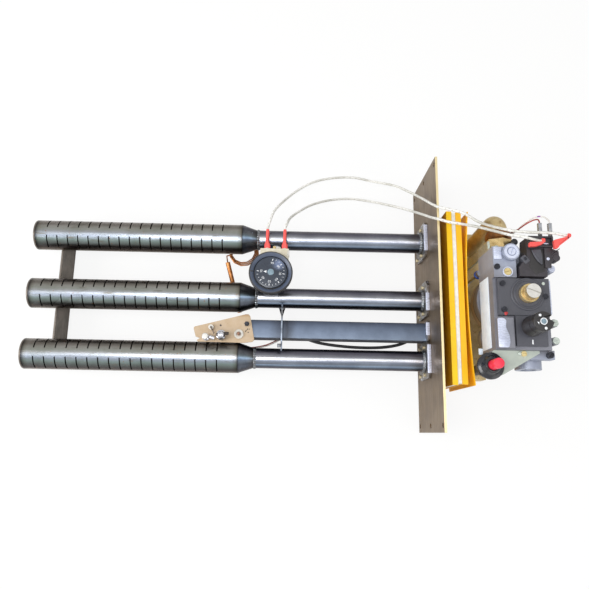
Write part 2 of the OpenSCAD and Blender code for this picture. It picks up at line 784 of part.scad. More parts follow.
module valve_solid() {
    block([valve_x, valve_x + valve_w], [valve_y0, valve_y1], [valve_z, deck_z]);
    block([valve_x, valve_x + valve_w], [valve_y0, cover_y1 + 1], [deck_z, cover_z]);
    block([valve_x, valve_x + 28], [cover_y1 + 1, valve_y1], [deck_z, valve_top]);
    block([valve_x + 1, valve_x + 21], [-83, -46], [cover_z, valve_top - 1]);
    at_valve(diaphragm_pos, diaphragm_z + diaphragm_t)
        cylinder(r = diaphragm_r, h = valve_z - diaphragm_z - diaphragm_t);
    at_valve([valve_x + 17, -62], diaphragm_z + diaphragm_t)
        cylinder(r = 18, h = valve_z - diaphragm_z - diaphragm_t);
    translate([outlet_x, valve_y1 - through, outlet_z]) rotate([-90, 0, 0])
        cylinder(r = outlet_boss_r, h = outlet_boss_len + through);
    translate([inlet_x, valve_y0 + through, inlet_z]) rotate([90, 0, 0])
        cylinder(r = inlet_bore_r + 7, h = inlet_len + through);
    block([valve_x + 28, valve_x + 75], [valve_y0 - 10, valve_y0 + through], [84, lug_top]);
    at_valve(test_boss_pos, valve_top - through) cylinder(r = 10.5, h = test_boss_h + through);
    for (place = side_screws) {
        at_valve(place, 80) cylinder(r = 5, h = side_screw_z - 80);
        block(
            [valve_x + valve_w - through, place[0]], [place[1] - 3, place[1] + 3], [80, side_screw_z - 10]
        );
    }
}

module valve_body() color("#8f949b") difference() {
    valve_solid();
    at_valve(diaphragm_pos, diaphragm_z) cylinder(r = chamber_r, h = chamber_top - diaphragm_z);
    at_valve(diaphragm_pos, chamber_top - through)
        cylinder(r = port_r, h = seat_z - chamber_top + 2 * through);
    at_valve(diaphragm_pos, seat_z) cylinder(r = upper_r, h = upper_top - seat_z);
    at_valve(knob_pos, magnet_z) cylinder(r = safety_r, h = spindle_z + 8 - magnet_z);
    at_valve(knob_pos, magnet_z) cylinder(r = spindle_r + running_gap, h = 60);
    translate([knob_pos[0], knob_pos[1], 75]) rotate([-90, 0, 0])
        cylinder(r = 4, h = diaphragm_pos[1] - knob_pos[1]);
    translate([outlet_x, valve_y1 + outlet_boss_len + through, outlet_z]) rotate([90, 0, 0])
        cylinder(r = outlet_bore_r, h = outlet_boss_len + valve_y1 - 9 + through);
    translate([outlet_x, 15, chamber_top - through]) cylinder(r = 5, h = outlet_z - chamber_top);
    translate([inlet_x, valve_y0 - inlet_len - through, inlet_z]) rotate([-90, 0, 0])
        cylinder(r = inlet_bore_r, h = inlet_thread_len + through);
    translate([inlet_x, valve_y0 - inlet_len, inlet_z]) rotate([-90, 0, 0])
        cylinder(r = inlet_bore_r - 2, h = inlet_len + knob_pos[1] - valve_y0);
    at_valve(regulator_pos, sleeve_z) cylinder(d = sleeve_d + 2 * seat_gap, h = 30);
    at_valve(pilot_screw_pos, 100) cylinder(r = 4.5 + running_gap, h = 20);
    at_valve(test_boss_pos, 108) cylinder(r = 4.6 + seat_gap, h = 20);
    at_valve([valve_x + 4, 17], 104) cylinder(r = 1.8 + seat_gap, h = 20);
    for (place = cover_screws) at_valve(place, 100) cylinder(r = 1.8 + seat_gap, h = 20);
    for (place = side_screws) at_valve(place, 94) cylinder(r = 2 + seat_gap, h = 20);
    at_valve([valve_x + 68, valve_y0 - 5], 90) cylinder(r = 1.8 + seat_gap, h = 20);
    at_valve([valve_x + 36, valve_y0 - 4], 90) cylinder(r = 1.8 + seat_gap, h = 20);
}

module diaphragm_cover() color("#5b5550") {
    difference() {
        at_valve(diaphragm_pos, cover_bottom) cylinder(r = diaphragm_r, h = diaphragm_z - cover_bottom);
        at_valve(diaphragm_pos, cover_bottom + 3) cylinder(r = chamber_r, h = 20);
    }
}

module diaphragm() color("#26221f")
    at_valve(diaphragm_pos, diaphragm_z) cylinder(r = diaphragm_r, h = diaphragm_t);

module main_valve() color("#b9b4a8") at_valve(diaphragm_pos, 0) {
    translate([0, 0, diaphragm_z + diaphragm_t + rest_gap]) cylinder(r = 20, h = 2);
    translate([0, 0, diaphragm_z + diaphragm_t + rest_gap + 2])
        cylinder(r = 2, h = seat_z + rest_gap - diaphragm_z - diaphragm_t - rest_gap - 2);
    translate([0, 0, seat_z + rest_gap]) cylinder(r = port_r + 2.5, h = main_disc_t);
}

module main_valve_spring() color("#c8c8c8") at_valve(diaphragm_pos, 0)
    spring(6, 1.2, seat_z + main_disc_t + rest_gap + 1, upper_top - 1, 5);

module top_cover() color("#3b3c40") difference() {
    union() {
        block([valve_x + 4, valve_x + 67], [-43, cover_y1], [cover_z, valve_top]);
        block([valve_x + 24, valve_x + 62], [-80, -43], [cover_z, valve_top - 2]);
        at_valve(regulator_pos, valve_top - through) cylinder(r = 15, h = 2.5 + through);
        at_valve(knob_pos, valve_top - 3) cylinder(r = knob_boss_r, h = knob_boss_z - valve_top + 3);
    }
    at_valve(regulator_pos, cover_z - through) cylinder(d = sleeve_d + 2 * seat_gap, h = 20);
    at_valve(knob_pos, cover_z - through) cylinder(r = spindle_r + running_gap, h = 20);
    for (place = cover_screws) at_valve(place, cover_z - through) cylinder(r = 1.8 + seat_gap, h = 20);
}

module slotted_screw(head_r, head_h, shank_r, shank_len, angle = 0) {
    difference() {
        cylinder(r = head_r, h = head_h);
        screw_slot(head_r, head_h, 1, 1, angle);
    }
    translate([0, 0, -shank_len]) cylinder(r = shank_r, h = shank_len);
}

// Screws of the tube flanges, the pilot bracket and the valve
module screws() {
    color("#d8c79a") for (y = tube_ys, side = [-1, 1], z = flange_screw_zs)
        along_x(-flange_t - 2, y + side * (flange_w / 2 - 6), tube_z + z)
            cylinder(d = flange_screw_d, h = 2, $fn = 24);
    color("#2b2b2e") translate([bracket_bolt[0], bracket_bolt[1], bracket_top])
        cylinder(d = 7, h = 3, $fn = 6);
    color("#2b2b2e") valve_screws();
}

module valve_screws() {
    for (place = cover_screws) at_valve(place, valve_top) slotted_screw(3.4, 2.4, 1.8, 12, 30);
    at_valve([valve_x + 4, 17], valve_top) slotted_screw(3.6, 2.4, 1.8, 9, 20);
    at_valve([valve_x + 68, valve_y0 - 5], lug_top) slotted_screw(4, 6, 1.8, 7, 50);
    at_valve([valve_x + 36, valve_y0 - 4], lug_top + piezo_bracket_t)
        slotted_screw(3.4, 2.2, 1.8, 9, 10);
    for (place = side_screws) at_valve(place, side_screw_z) slotted_screw(4.3, 3, 2, 8, 15);
    at_valve(test_boss_pos, valve_top + test_boss_h) slotted_screw(4.6, 1.5, 4.6, 12, 70);
}

module gas_spindle() color("#b8b3a6") at_valve(knob_pos, spindle_z)
    cylinder(r = spindle_r, h = spindle_len);

module gas_knob() color("#18181a") at_valve(knob_pos, knob_z) difference() {
    union() {
        cylinder(d = knob_d, h = knob_h);
        translate([knob_d / 2 - 2, -2, knob_h - 14]) cube([4.5, 4, 14]);
    }
    translate([0, 0, -through]) cylinder(r = knob_boss_r + 1, h = 8 + through);
    translate([0, 0, -through])
        cylinder(r = spindle_r + seat_gap, h = spindle_z + spindle_len - knob_z + through);
}

knob_collar_z = knob_boss_z + knob_travel + 1.7;

module knob_collar() color("#a7a39a") at_valve(knob_pos, knob_collar_z)
    ring(8, spindle_r + running_gap, 2);

module knob_spring() color("#c8c8c8") at_valve(knob_pos, 0)
    spring(6, 1, knob_boss_z + 0.8, knob_collar_z - 0.8, 3);

module safety_valve() color("#8c8a80") at_valve(knob_pos, 0) {
    translate([0, 0, safety_z]) cylinder(r = safety_r - 1, h = 2);
    translate([0, 0, safety_z + 2]) cylinder(r = 2, h = spindle_z - safety_z - 2 - rest_gap);
}

module magnet_unit() color("#b08d57") at_valve(knob_pos, magnet_z)
    cylinder(r = safety_r - seat_gap, h = magnet_h);

module regulator_sleeve() color("#c9a65a") at_valve(regulator_pos, sleeve_z)
    ring(sleeve_d / 2, regulator_d / 2 + running_gap, sleeve_top - sleeve_z);

module regulator_screw() color("#d5d7d9") at_valve(regulator_pos, regulator_z) difference() {
    cylinder(d = regulator_d, h = regulator_top - regulator_z);
    screw_slot(regulator_d / 2, regulator_top - regulator_z, 1.6, 2, -20);
}

module regulator_seat() color("#b8b3a6") at_valve(regulator_pos, regulator_z - rest_gap - seat_t)
    cylinder(r = regulator_d / 2 - 0.2, h = seat_t);

module regulator_spring() color("#c8c8c8") at_valve(regulator_pos, 0)
    spring(6, 1.4, sleeve_z + 1, regulator_z - rest_gap - seat_t - 1, 5);

module pilot_screw() color("#c9a14e") at_valve(pilot_screw_pos, 102) difference() {
    cylinder(r = 4.5, h = valve_top + 1 - 102);
    screw_slot(4.5, valve_top + 1 - 102, 1.2, 1.5, 15);
}

// Terminals for the thermostat's leads and the thermopile
module operator_block() color("#202124") difference() {
    union() {
        translate([operator_x, 0, deck_z]) linear_extrude(operator_h)
            polygon([
                [0, 4.5], [0, 16], [10, 30], [12, operator_y1], [42.5, operator_y1], [42.5, 40],
                [50, 37], [50, 32], [34, 16], [34, 4.5]
            ]);
        translate([operator_x + 47.5, 30.5, 104]) cylinder(r = 4.5, h = 12);
        block(frame_x, [41, operator_y1], [deck_z + operator_h - through, frame_z]);
    }
    block([frame_x[0] + 17, frame_x[1] - 2], [43, operator_y1 - 2], [frame_z - 4, frame_z + through]);
}

module spade_terminals() color("#c4c6c8") {
    for (x = spade_xs) {
        block([x - 2.6, x + 2.6], [operator_y1, crimp_y[0]], [spade_z - 0.4, spade_z + 0.4]);
        block([x - 2.2, x + 2.2], crimp_y, [spade_z - 2.2, spade_z + 2.2]);
    }
    for (x = tab_xs)
        block([x - 3.2, x + 3.2], [terminal_y1, terminal_y1 + 8], [tab_z - 0.4, tab_z + 0.4]);
}

// Each boot on the thermostat tapers towards its lead. On the valve each boot turns back to
// meet its lead.
module tab_boot(x) {
    difference() {
        union() {
            block([x - 4.5, x + 4.5], [boot_y0, boot_y0 + 15], [tab_z - 4, tab_z + 4]);
            translate([x, boot_y0 + 15, tab_z]) rotate([-90, 0, 0])
                cylinder(r1 = 3.8, r2 = 2.6, h = boot_y1 - boot_y0 - 15);
        }
        block(
            [x - 3.2 - seat_gap, x + 3.2 + seat_gap], [boot_y0 - through, terminal_y1 + 8 + seat_gap],
            [tab_z - 0.4 - seat_gap, tab_z + 0.4 + seat_gap]
        );
    }
}

boot_h = 6;
boot_1 = [144.8, 55.4, frame_z + boot_h / 2];
boot_2 = [112.3, 47.8, frame_z + boot_h / 2];
boot_outline_1 = [
    [127, 38], [131, 38], [133.3, 41.3], [145.1, 50.5], [148.8, 53.5], [148.4, 57], [144.8, 57.6],
    [144.8, 53.4], [139, 52], [129, 49.2], [127, 48.5]
];
boot_outline_2 = [
    [96.3, 41.2], [97, 39.6], [104.8, 40], [112, 42.6], [116.4, 46], [116.2, 50], [112.3, 50.4],
    [112.3, 45.8], [97, 45.2]
];

module valve_boots() {
    for (outline = [boot_outline_1, boot_outline_2])
        translate([0, 0, frame_z]) linear_extrude(boot_h) polygon(outline);
}

module terminal_boots() color("#f0544f") {
    tab_boot(boot_x1);
    tab_boot(boot_x2);
    valve_boots();
}

lead_route_1 = concat(
    shifted([[0, 0, 0], [0.3, 5, -0.4], [3.5, 17, -4]], [boot_x1, boot_y1, tab_z]),
    [
        [-217, 132, -12], [-203, 158, -38], [-184, 182, -57], [-160, 200, -66],
        [-130, 209, -68.4], [-96, 211, -68.4], [-64, 204, -66], [-36, 186, -38], [-18, 161, -4],
        [-9, 136, 34], [-4.5, 117, 64], [2, 108, 76], [14, 103, 82], [30, 95, 90],
        [46, 81, 98], [64, 71, 107], [84, 63.5, 116], [99, 59.8, 123], [112, 58.4, 126.8],
        [126, 57.8, 127.4], [134.5, 57, 127], [139.5, 55.7, 127], [142, 55.4, 127], boot_1
    ]
);
lead_route_2 = concat(
    shifted([[0, 0, 0], [0.3, 4, -1], [3, 12, -6]], [boot_x2, boot_y1, tab_z]),
    [
        [-194, 122, -16], [-180, 141, -38], [-161, 159, -57], [-134, 171, -67],
        [-104, 175, -68.8], [-74, 170, -63], [-44, 152, -34], [-25, 130, 6], [-12, 110, 42],
        [-6, 98, 64], [1, 91, 77], [12, 87, 79], [24, 84, 82], [46, 78, 88], [64, 70, 97],
        [80, 59.5, 112], [91, 53.5, 123.5], [100, 49.9, 127.4], [106, 48.3, 127.3],
        [109.5, 47.8, 127], boot_2
    ]
);

module switch_lead(route) color("#e6e4dc") tube(curve(route, 2), lead_d, 8);

// Piezo igniter
module piezo_bracket() color("#b9c0b4")
    difference() {
        translate([0, 0, lug_top]) linear_extrude(piezo_bracket_t)
            polygon([
                [valve_x, valve_y0], [valve_x + 56, valve_y0], [valve_x + 56, valve_y0 - 3],
                [valve_x + 11, -113], [piezo_pos[0] + 6, -118], [piezo_pos[0] - 6, -118],
                [piezo_pos[0] - 13, -110], [piezo_pos[0] - 12, -98], [piezo_pos[0], -90]
            ]);
        at_valve(piezo_pos, lug_top - through) cylinder(r = piezo_body_r + seat_gap, h = 10);
        at_valve([valve_x + 36, valve_y0 - 4], lug_top - through) cylinder(r = 1.8 + seat_gap, h = 10);
    }

module piezo_body() color("#1b1b1d") at_valve(piezo_pos, 0) difference() {
    boss_z = piezo_collar_z + piezo_collar_h;
    union() {
        translate([0, 0, piezo_collar_z]) cylinder(d = piezo_collar_d, h = piezo_collar_h);
        translate([0, 0, boss_z]) cylinder(r1 = piezo_boss_r, r2 = piezo_boss_r - 2.5, h = piezo_boss_h);
        translate([0, 0, piezo_bottom]) cylinder(r = piezo_boot_r, h = boss_z - piezo_bottom);
        translate([0, 0, piezo_shoulder_z]) cylinder(r1 = piezo_boot_r, r2 = piezo_body_r, h = 6);
        translate([0, 0, piezo_shoulder_z + 6])
            cylinder(r = piezo_body_r, h = piezo_collar_z - piezo_shoulder_z - 6);
    }
    translate([0, 0, piezo_chamber_z]) cylinder(d = piezo_button_d + 2 * running_gap, h = 50);
}

module piezo_button() color("#e0303a") at_valve(piezo_pos, piezo_button_z)
    cylinder(d = piezo_button_d, h = piezo_button_top - piezo_button_z);

module piezo_spring() color("#c8c8c8") at_valve(piezo_pos, 0)
    spring(4, 0.8, piezo_chamber_z + 0.5, piezo_button_z - 0.5, 3);

// Thermostat
module thermostat_case() color("#cfc7b2") {
    difference() {
        union() {
            block(
                [thermostat_pos[0] - thermostat_w / 2, thermostat_pos[0] + thermostat_w / 2],
                [thermostat_y0, thermostat_y1], [thermostat_z, thermostat_top]
            );
            block(
                [thermostat_pos[0] - thermostat_foot_w / 2, thermostat_pos[0] + thermostat_foot_w / 2],
                [thermostat_foot_y, thermostat_y0 + through], [thermostat_z, thermostat_top - 6]
            );
            block(
                [tab_xs[0] - 9, tab_xs[2] + 6], [thermostat_y1 - through, terminal_y1],
                [tab_z - 5, tab_z + 14]
            );
        }
        at_valve(thermostat_pos, 10) cylinder(r = shaft_r + running_gap, h = 30);
    }
}

module thermostat_bezel() color("#26272b") at_valve(thermostat_pos, thermostat_top) difference() {
    cylinder(d = bezel_d, h = bezel_h, $fn = 64);
    translate([0, 0, 1.5]) cylinder(d = dial_d + 2, h = bezel_h, $fn = 64);
    translate([0, 0, -through]) cylinder(r = shaft_r + 2, h = 5);
}

module thermostat_dial() color("#2a2b2f") at_valve(thermostat_pos, 0) {
    translate([0, 0, dial_z]) cylinder(d = dial_d, h = dial_h, $fn = 64);
    translate([0, 0, 12]) cylinder(r = shaft_r, h = dial_z - 12);
}

// The capillary hangs in nearly four loops below the far head, each a little smaller and lower
// than the one before, then meets the bulb.
loop_pos = [thermostat_pos[0] - 42.5, 73.5];
loop_r = 22;
loop_steps = 44;
loop_shrink = 5;
loop_drift = [-2, 6, -10];
bulb_start = [thermostat_pos[0] - 64.5, 54, -24];
bulb_dir = unit([20, -74, -28]);
capillary_ends = [
    shifted(
        [
            [-12, 38, thermostat_z], [-12, 38, thermostat_z - 3], [-12.5, 41, -11], [-16, 50, -24],
            [-21, 58, -34]
        ],
        [thermostat_pos[0], 0, 0]
    ),
    concat(shifted([[-3.5, 14, -16], [-2, 8, -9], [-0.9, 3.3, -2.5]], bulb_start), [bulb_start])
];
capillary_loops = [
    for (i = [0 : loop_steps])
        let (share = i / loop_steps, r = loop_r - loop_shrink * share, a = -40 + 30 * i)
            [loop_pos[0] + r * cos(a), loop_pos[1] + r * sin(a), -39] + loop_drift * share
];
capillary_route = concat(capillary_ends[0], capillary_loops, capillary_ends[1]);

module capillary_bulb() color("#b87333") {
    tube(capillary_route, capillary_d, 8);
    translate(bulb_start) rotate([0, 0, atan2(bulb_dir[1], bulb_dir[0])])
        rotate([0, acos(bulb_dir[2]), 0]) cylinder(d = bulb_d, h = bulb_len);
}

front_plate();
burner_head(0);  // burner_head_far
burner_head(1);  // burner_head_middle
burner_head(2);  // burner_head_near
end_caps();
reducer_cones();
mixer_tubes();
tube_flanges();
weld_beads();
screws();
rear_foot();
tube_brace();
pilot_carrier();
pilot_bracket();
pilot_burner();
pilot_gas_tube();
thermopile();
thermopile_lead();
electrode_insulator();
spark_electrode();
ignition_lead();
shield_front_leaf();
shield_board();
shield_outer_leaf();
manifold();
injectors();
manifold_studs();
gas_pipe();
union_nut();
valve_strap();
valve_body();
diaphragm_cover();
diaphragm();
main_valve();
main_valve_spring();
top_cover();
gas_knob();
gas_spindle();
knob_collar();
knob_spring();
safety_valve();
magnet_unit();
regulator_sleeve();
regulator_screw();
regulator_seat();
regulator_spring();
pilot_screw();
operator_block();
spade_terminals();
terminal_boots();
piezo_bracket();
piezo_body();
piezo_button();
piezo_spring();
thermostat_case();
thermostat_bezel();
thermostat_dial();
capillary_bulb();
switch_lead(lead_route_1);  // switch_lead_long
switch_lead(lead_route_2);  // switch_lead_short
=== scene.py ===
"""Boiler gas burner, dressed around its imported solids, as a Blender add-on that also runs as a script."""
import json
from math import pi, radians

import bmesh
import bpy
import numpy as np
from mathutils import Matrix, Vector


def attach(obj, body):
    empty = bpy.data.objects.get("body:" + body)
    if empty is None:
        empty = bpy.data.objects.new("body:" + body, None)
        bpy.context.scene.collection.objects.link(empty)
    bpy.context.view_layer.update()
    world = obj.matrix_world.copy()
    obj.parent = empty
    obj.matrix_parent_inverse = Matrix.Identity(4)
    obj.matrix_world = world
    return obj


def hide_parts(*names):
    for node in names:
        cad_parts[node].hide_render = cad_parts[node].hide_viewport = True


bl_info = {
    "name": "Boiler gas burner",
    "version": (1, 0, 0),
    "blender": (4, 5, 0),
    "location": "View3D > Sidebar > Gas burner",
    "description": "Finishes and fittings of an atmospheric boiler gas burner",
    "category": "Object",
}

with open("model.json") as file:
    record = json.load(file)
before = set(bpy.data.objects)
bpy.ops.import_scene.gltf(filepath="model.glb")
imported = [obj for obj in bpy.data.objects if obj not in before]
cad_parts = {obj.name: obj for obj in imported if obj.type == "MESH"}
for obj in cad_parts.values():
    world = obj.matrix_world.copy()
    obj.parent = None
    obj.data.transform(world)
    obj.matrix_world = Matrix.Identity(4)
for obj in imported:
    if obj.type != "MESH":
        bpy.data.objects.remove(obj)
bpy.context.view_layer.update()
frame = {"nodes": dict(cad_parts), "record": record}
RECORD = frame["record"]
BODY_OF = {node: body for body, nodes in RECORD["behaviour"]["bodies"].items() for node in nodes}
MM = 0.001
WHITE = "#FFFFFF"

# Axes and levels that pieces share, in millimetres, as in the part's source.
TUBE_YS, TUBE_Z, TUBE_R = (86.0, 0.0, -86.0), -15.0, 14.0
DIAL, IGNITER, KNOB = (-219.5, 25.0), (50.0, -103.5), (96.0, -57.5)
PILOT, THERMOPILE, REGULATOR = (-285.0, -58.5), (-306.3, -61.3), (95.5, -17.0)
BOOT_XS = (-226.0, -201.5)  # the thermostat's two boots
BOOT_Z = (124.1, 130)  # under and upper side of the valve's boots
KNOB_TOP = (154.7, 155)  # marks let into the knob's face
DIAL_Z = 35.5  # the dial's marks at its middle
FIRST_MARK = 175.6  # degrees, and the next ones follow 14.8 apart
FLOOR_Z = -71.05

# Light of the sky on the object, where the camera sees 1, and the share of the floor that glows.
SKY, GLOW = 0.62, 0.86


# Colours and shader nodes

def linear(colour):
    """sRGB hex to linear RGBA: c / 12.92 below 0.04045, else ((c + 0.055) / 1.055) ** 2.4."""
    c = np.array([int(colour[i:i + 2], 16) for i in (1, 3, 5)]) / 255
    c = np.where(c <= 0.04045, c / 12.92, ((c + 0.055) / 1.055) ** 2.4)
    return (*c.tolist(), 1.0)


def add(tree, kind, inputs=None, stops=None, **settings):
    """Add a shader node. An input is a value or the socket that feeds it, and stops fill a colour ramp."""
    item = tree.nodes.new(kind)
    for key, value in settings.items():
        setattr(item, key, value)
    for key, value in (inputs or {}).items():
        if isinstance(value, bpy.types.NodeSocket):
            tree.links.new(value, item.inputs[key])
        else:
            item.inputs[key].default_value = value
    if stops:
        ramp = item.color_ramp
        while len(ramp.elements) < len(stops):
            ramp.elements.new(0.5)
        for element, (position, colour) in zip(ramp.elements, stops):
            element.position, element.color = position, linear(colour)
    return item


def finish(name, colour, second, patch, metallic, rough, grain=0.4, relief=0.02, layers=(), **shader):
    """Surface finish: patches of a second colour, then grain that moves roughness and relief.

    rough is the range of the roughness. Patch and grain sizes and the relief are in millimetres, and the
    grain has one size or one on each axis. Each layer takes the tree, the place and the colour so far,
    and returns the next colour.
    """
    sizes = np.broadcast_to(grain, 3)
    mat = bpy.data.materials.new(name)
    mat.use_nodes = True
    tree = mat.node_tree
    tree.nodes.clear()
    place = add(tree, "ShaderNodeTexCoord").outputs["Object"]
    cloud = add(tree, "ShaderNodeTexNoise",
                {"Vector": place, "Scale": 1000 / patch, "Detail": 5.0, "Roughness": 0.62})
    mask = add(tree, "ShaderNodeMapRange",
               {"Value": cloud.outputs[0], "From Min": 0.4, "From Max": 0.7})
    tint = add(tree, "ShaderNodeMix", {0: mask.outputs[0], 6: linear(colour), 7: linear(second)},
               data_type="RGBA").outputs[2]
    for layer in layers:
        tint = layer(tree, place, tint)
    lines = add(tree, "ShaderNodeMapping", {"Vector": place, "Scale": [1000 / size for size in sizes]})
    specks = add(tree, "ShaderNodeTexNoise", {"Vector": lines.outputs[0], "Scale": 1.0, "Detail": 3.0})
    gloss = add(tree, "ShaderNodeMapRange",
                {"Value": specks.outputs[0], "From Min": 0.3, "From Max": 0.7,
                 "To Min": rough[0], "To Max": rough[1]})
    bump = add(tree, "ShaderNodeBump", {"Height": specks.outputs[0], "Distance": relief * MM})
    surface = add(tree, "ShaderNodeBsdfPrincipled",
                  {"Base Color": tint, "Metallic": metallic, "Roughness": gloss.outputs[0],
                   "Normal": bump.outputs[0], **shader})
    add(tree, "ShaderNodeOutputMaterial", {"Surface": surface.outputs[0]})
    return mat


def along(axis, low, high, stops, blend="MULTIPLY", share=1.0, wander=0.0, size=10.0):
    """Layer: a colour ramp from low to high millimetres on one axis, moved about by soft noise."""
    def layer(tree, place, tint):
        value = add(tree, "ShaderNodeSeparateXYZ", {0: place}).outputs[axis]
        if wander:
            drift = add(tree, "ShaderNodeTexNoise", {"Vector": place, "Scale": 1000 / size, "Detail": 3.0})
            shift = add(tree, "ShaderNodeMapRange",
                        {"Value": drift.outputs[0], "To Min": -wander * MM, "To Max": wander * MM})
            value = add(tree, "ShaderNodeMath", {0: value, 1: shift.outputs[0]}, operation="ADD").outputs[0]
        part = add(tree, "ShaderNodeMapRange",
                   {"Value": value, "From Min": low * MM, "From Max": high * MM})
        ramp = add(tree, "ShaderNodeValToRGB", {0: part.outputs[0]}, stops)
        return add(tree, "ShaderNodeMix", {0: share, 6: tint, 7: ramp.outputs[0]},
                   data_type="RGBA", blend_type=blend).outputs[2]
    return layer


def painted_tube_light(stops, wander=3.0, size=(60, 8, 8)):
    """Layer: a colour for each angle round the nearest burner tube's axis, in degrees from its top
    towards the far side, which paints the tube's light: painted shade, painted highlight and painted
    reflection. Soft noise moves the angle, and its size is in millimetres on each axis.
    """
    low, high = stops[0][0], stops[-1][0]

    def layer(tree, place, tint):
        axes = add(tree, "ShaderNodeSeparateXYZ", {0: place}).outputs
        half = TUBE_YS[0] / 2 * MM
        y = add(tree, "ShaderNodeMath", {0: axes[1], 1: half, 2: -half}, operation="WRAP")
        z = add(tree, "ShaderNodeMath", {0: axes[2], 1: TUBE_Z * MM}, operation="SUBTRACT")
        angle = add(tree, "ShaderNodeMath", {0: y.outputs[0], 1: z.outputs[0]}, operation="ARCTAN2")
        lines = add(tree, "ShaderNodeMapping", {"Vector": place, "Scale": [1000 / s for s in size]})
        noise = add(tree, "ShaderNodeTexNoise", {"Vector": lines.outputs[0], "Scale": 1.0, "Detail": 4.0})
        drift = add(tree, "ShaderNodeMapRange",
                    {"Value": noise.outputs[0], "From Min": 0.25, "From Max": 0.75,
                     "To Min": -radians(wander), "To Max": radians(wander)})
        angle = add(tree, "ShaderNodeMath", {0: angle.outputs[0], 1: drift.outputs[0]}, operation="ADD")
        part = add(tree, "ShaderNodeMapRange",
                   {"Value": angle.outputs[0], "From Min": radians(low), "From Max": radians(high)})
        ramp = add(tree, "ShaderNodeValToRGB", {0: part.outputs[0]},
                   [((at - low) / (high - low), colour) for at, colour in stops])
        return add(tree, "ShaderNodeMix", {0: 1.0, 6: tint, 7: ramp.outputs[0]},
                   data_type="RGBA", blend_type="MULTIPLY").outputs[2]
    return layer


def painted_reflection_patch(centre, radius, colour, share):
    """Layer: a soft round patch of painted reflection, in millimetres, mottled by noise 2 mm wide."""
    def layer(tree, place, tint):
        away = add(tree, "ShaderNodeVectorMath", {0: place, 1: [c * MM for c in centre]},
                   operation="DISTANCE")
        noise = add(tree, "ShaderNodeTexNoise", {"Vector": place, "Scale": 500.0, "Detail": 3.0})
        near = add(tree, "ShaderNodeMapRange",
                   {"Value": away.outputs["Value"], "From Min": radius * MM, "From Max": radius * MM * 0.15,
                    "To Max": share}, interpolation_type="SMOOTHSTEP")
        mask = add(tree, "ShaderNodeMath", {0: near.outputs[0], 1: noise.outputs[0]}, operation="MULTIPLY")
        return add(tree, "ShaderNodeMix", {0: mask.outputs[0], 6: tint, 7: linear(colour)},
                   data_type="RGBA").outputs[2]
    return layer


def streaks(colour, size, low, high, detail=3.0):
    """Layer: streaks of another colour, with a size in millimetres on each axis."""
    def layer(tree, place, tint):
        lines = add(tree, "ShaderNodeMapping", {"Vector": place, "Scale": [1000 / s for s in size]})
        noise = add(tree, "ShaderNodeTexNoise", {"Vector": lines.outputs[0], "Scale": 1.0, "Detail": detail})
        mask = add(tree, "ShaderNodeMapRange",
                   {"Value": noise.outputs[0], "From Min": low, "From Max": high})
        return add(tree, "ShaderNodeMix", {0: mask.outputs[0], 6: tint, 7: linear(colour)},
                   data_type="RGBA").outputs[2]
    return layer


def specks(colour, size, low, high):
    """Layer: sparse small spots of another colour, as wide as they are long."""
    return streaks(colour, (size, size, size), low, high, 2.0)


def woven(name, colour, shade, threads, pitch):
    """Braided sleeve over a lead: threads cross at a slant round it, at a pitch in millimetres, with painted
    shade between them.
    """
    mat = finish(name, colour, shade, 30, 0, (0.6, 0.8), relief=0.01)
    tree = mat.node_tree
    surface = next(n for n in tree.nodes if n.type == "BSDF_PRINCIPLED")
    route = add(tree, "ShaderNodeUVMap", uv_map="route").outputs[0]
    heights = []
    for slant in (1, -1):
        turned = add(tree, "ShaderNodeMapping",
                     {"Vector": route, "Scale": (1000 / pitch, slant * threads, 1)})
        wave = add(tree, "ShaderNodeTexWave", {"Vector": turned.outputs[0], "Scale": 0.16},
                   bands_direction="DIAGONAL")
        heights.append(wave.outputs[1])
    top = add(tree, "ShaderNodeMath", {0: heights[0], 1: heights[1]}, operation="MAXIMUM")
    bump = add(tree, "ShaderNodeBump", {"Height": top.outputs[0], "Distance": 0.15 * MM})
    tree.links.new(bump.outputs[0], surface.inputs["Normal"])
    old = surface.inputs["Base Color"].links[0].from_socket
    # Where the threads dip, the colour goes to the shade colour: painted shade between the threads.
    dark = add(tree, "ShaderNodeMapRange", {"Value": top.outputs[0], "From Max": 0.6, "To Max": 1.0})
    mixed = add(tree, "ShaderNodeMix", {0: dark.outputs[0], 6: linear(shade), 7: old}, data_type="RGBA")
    tree.links.new(mixed.outputs[2], surface.inputs["Base Color"])
    return mat


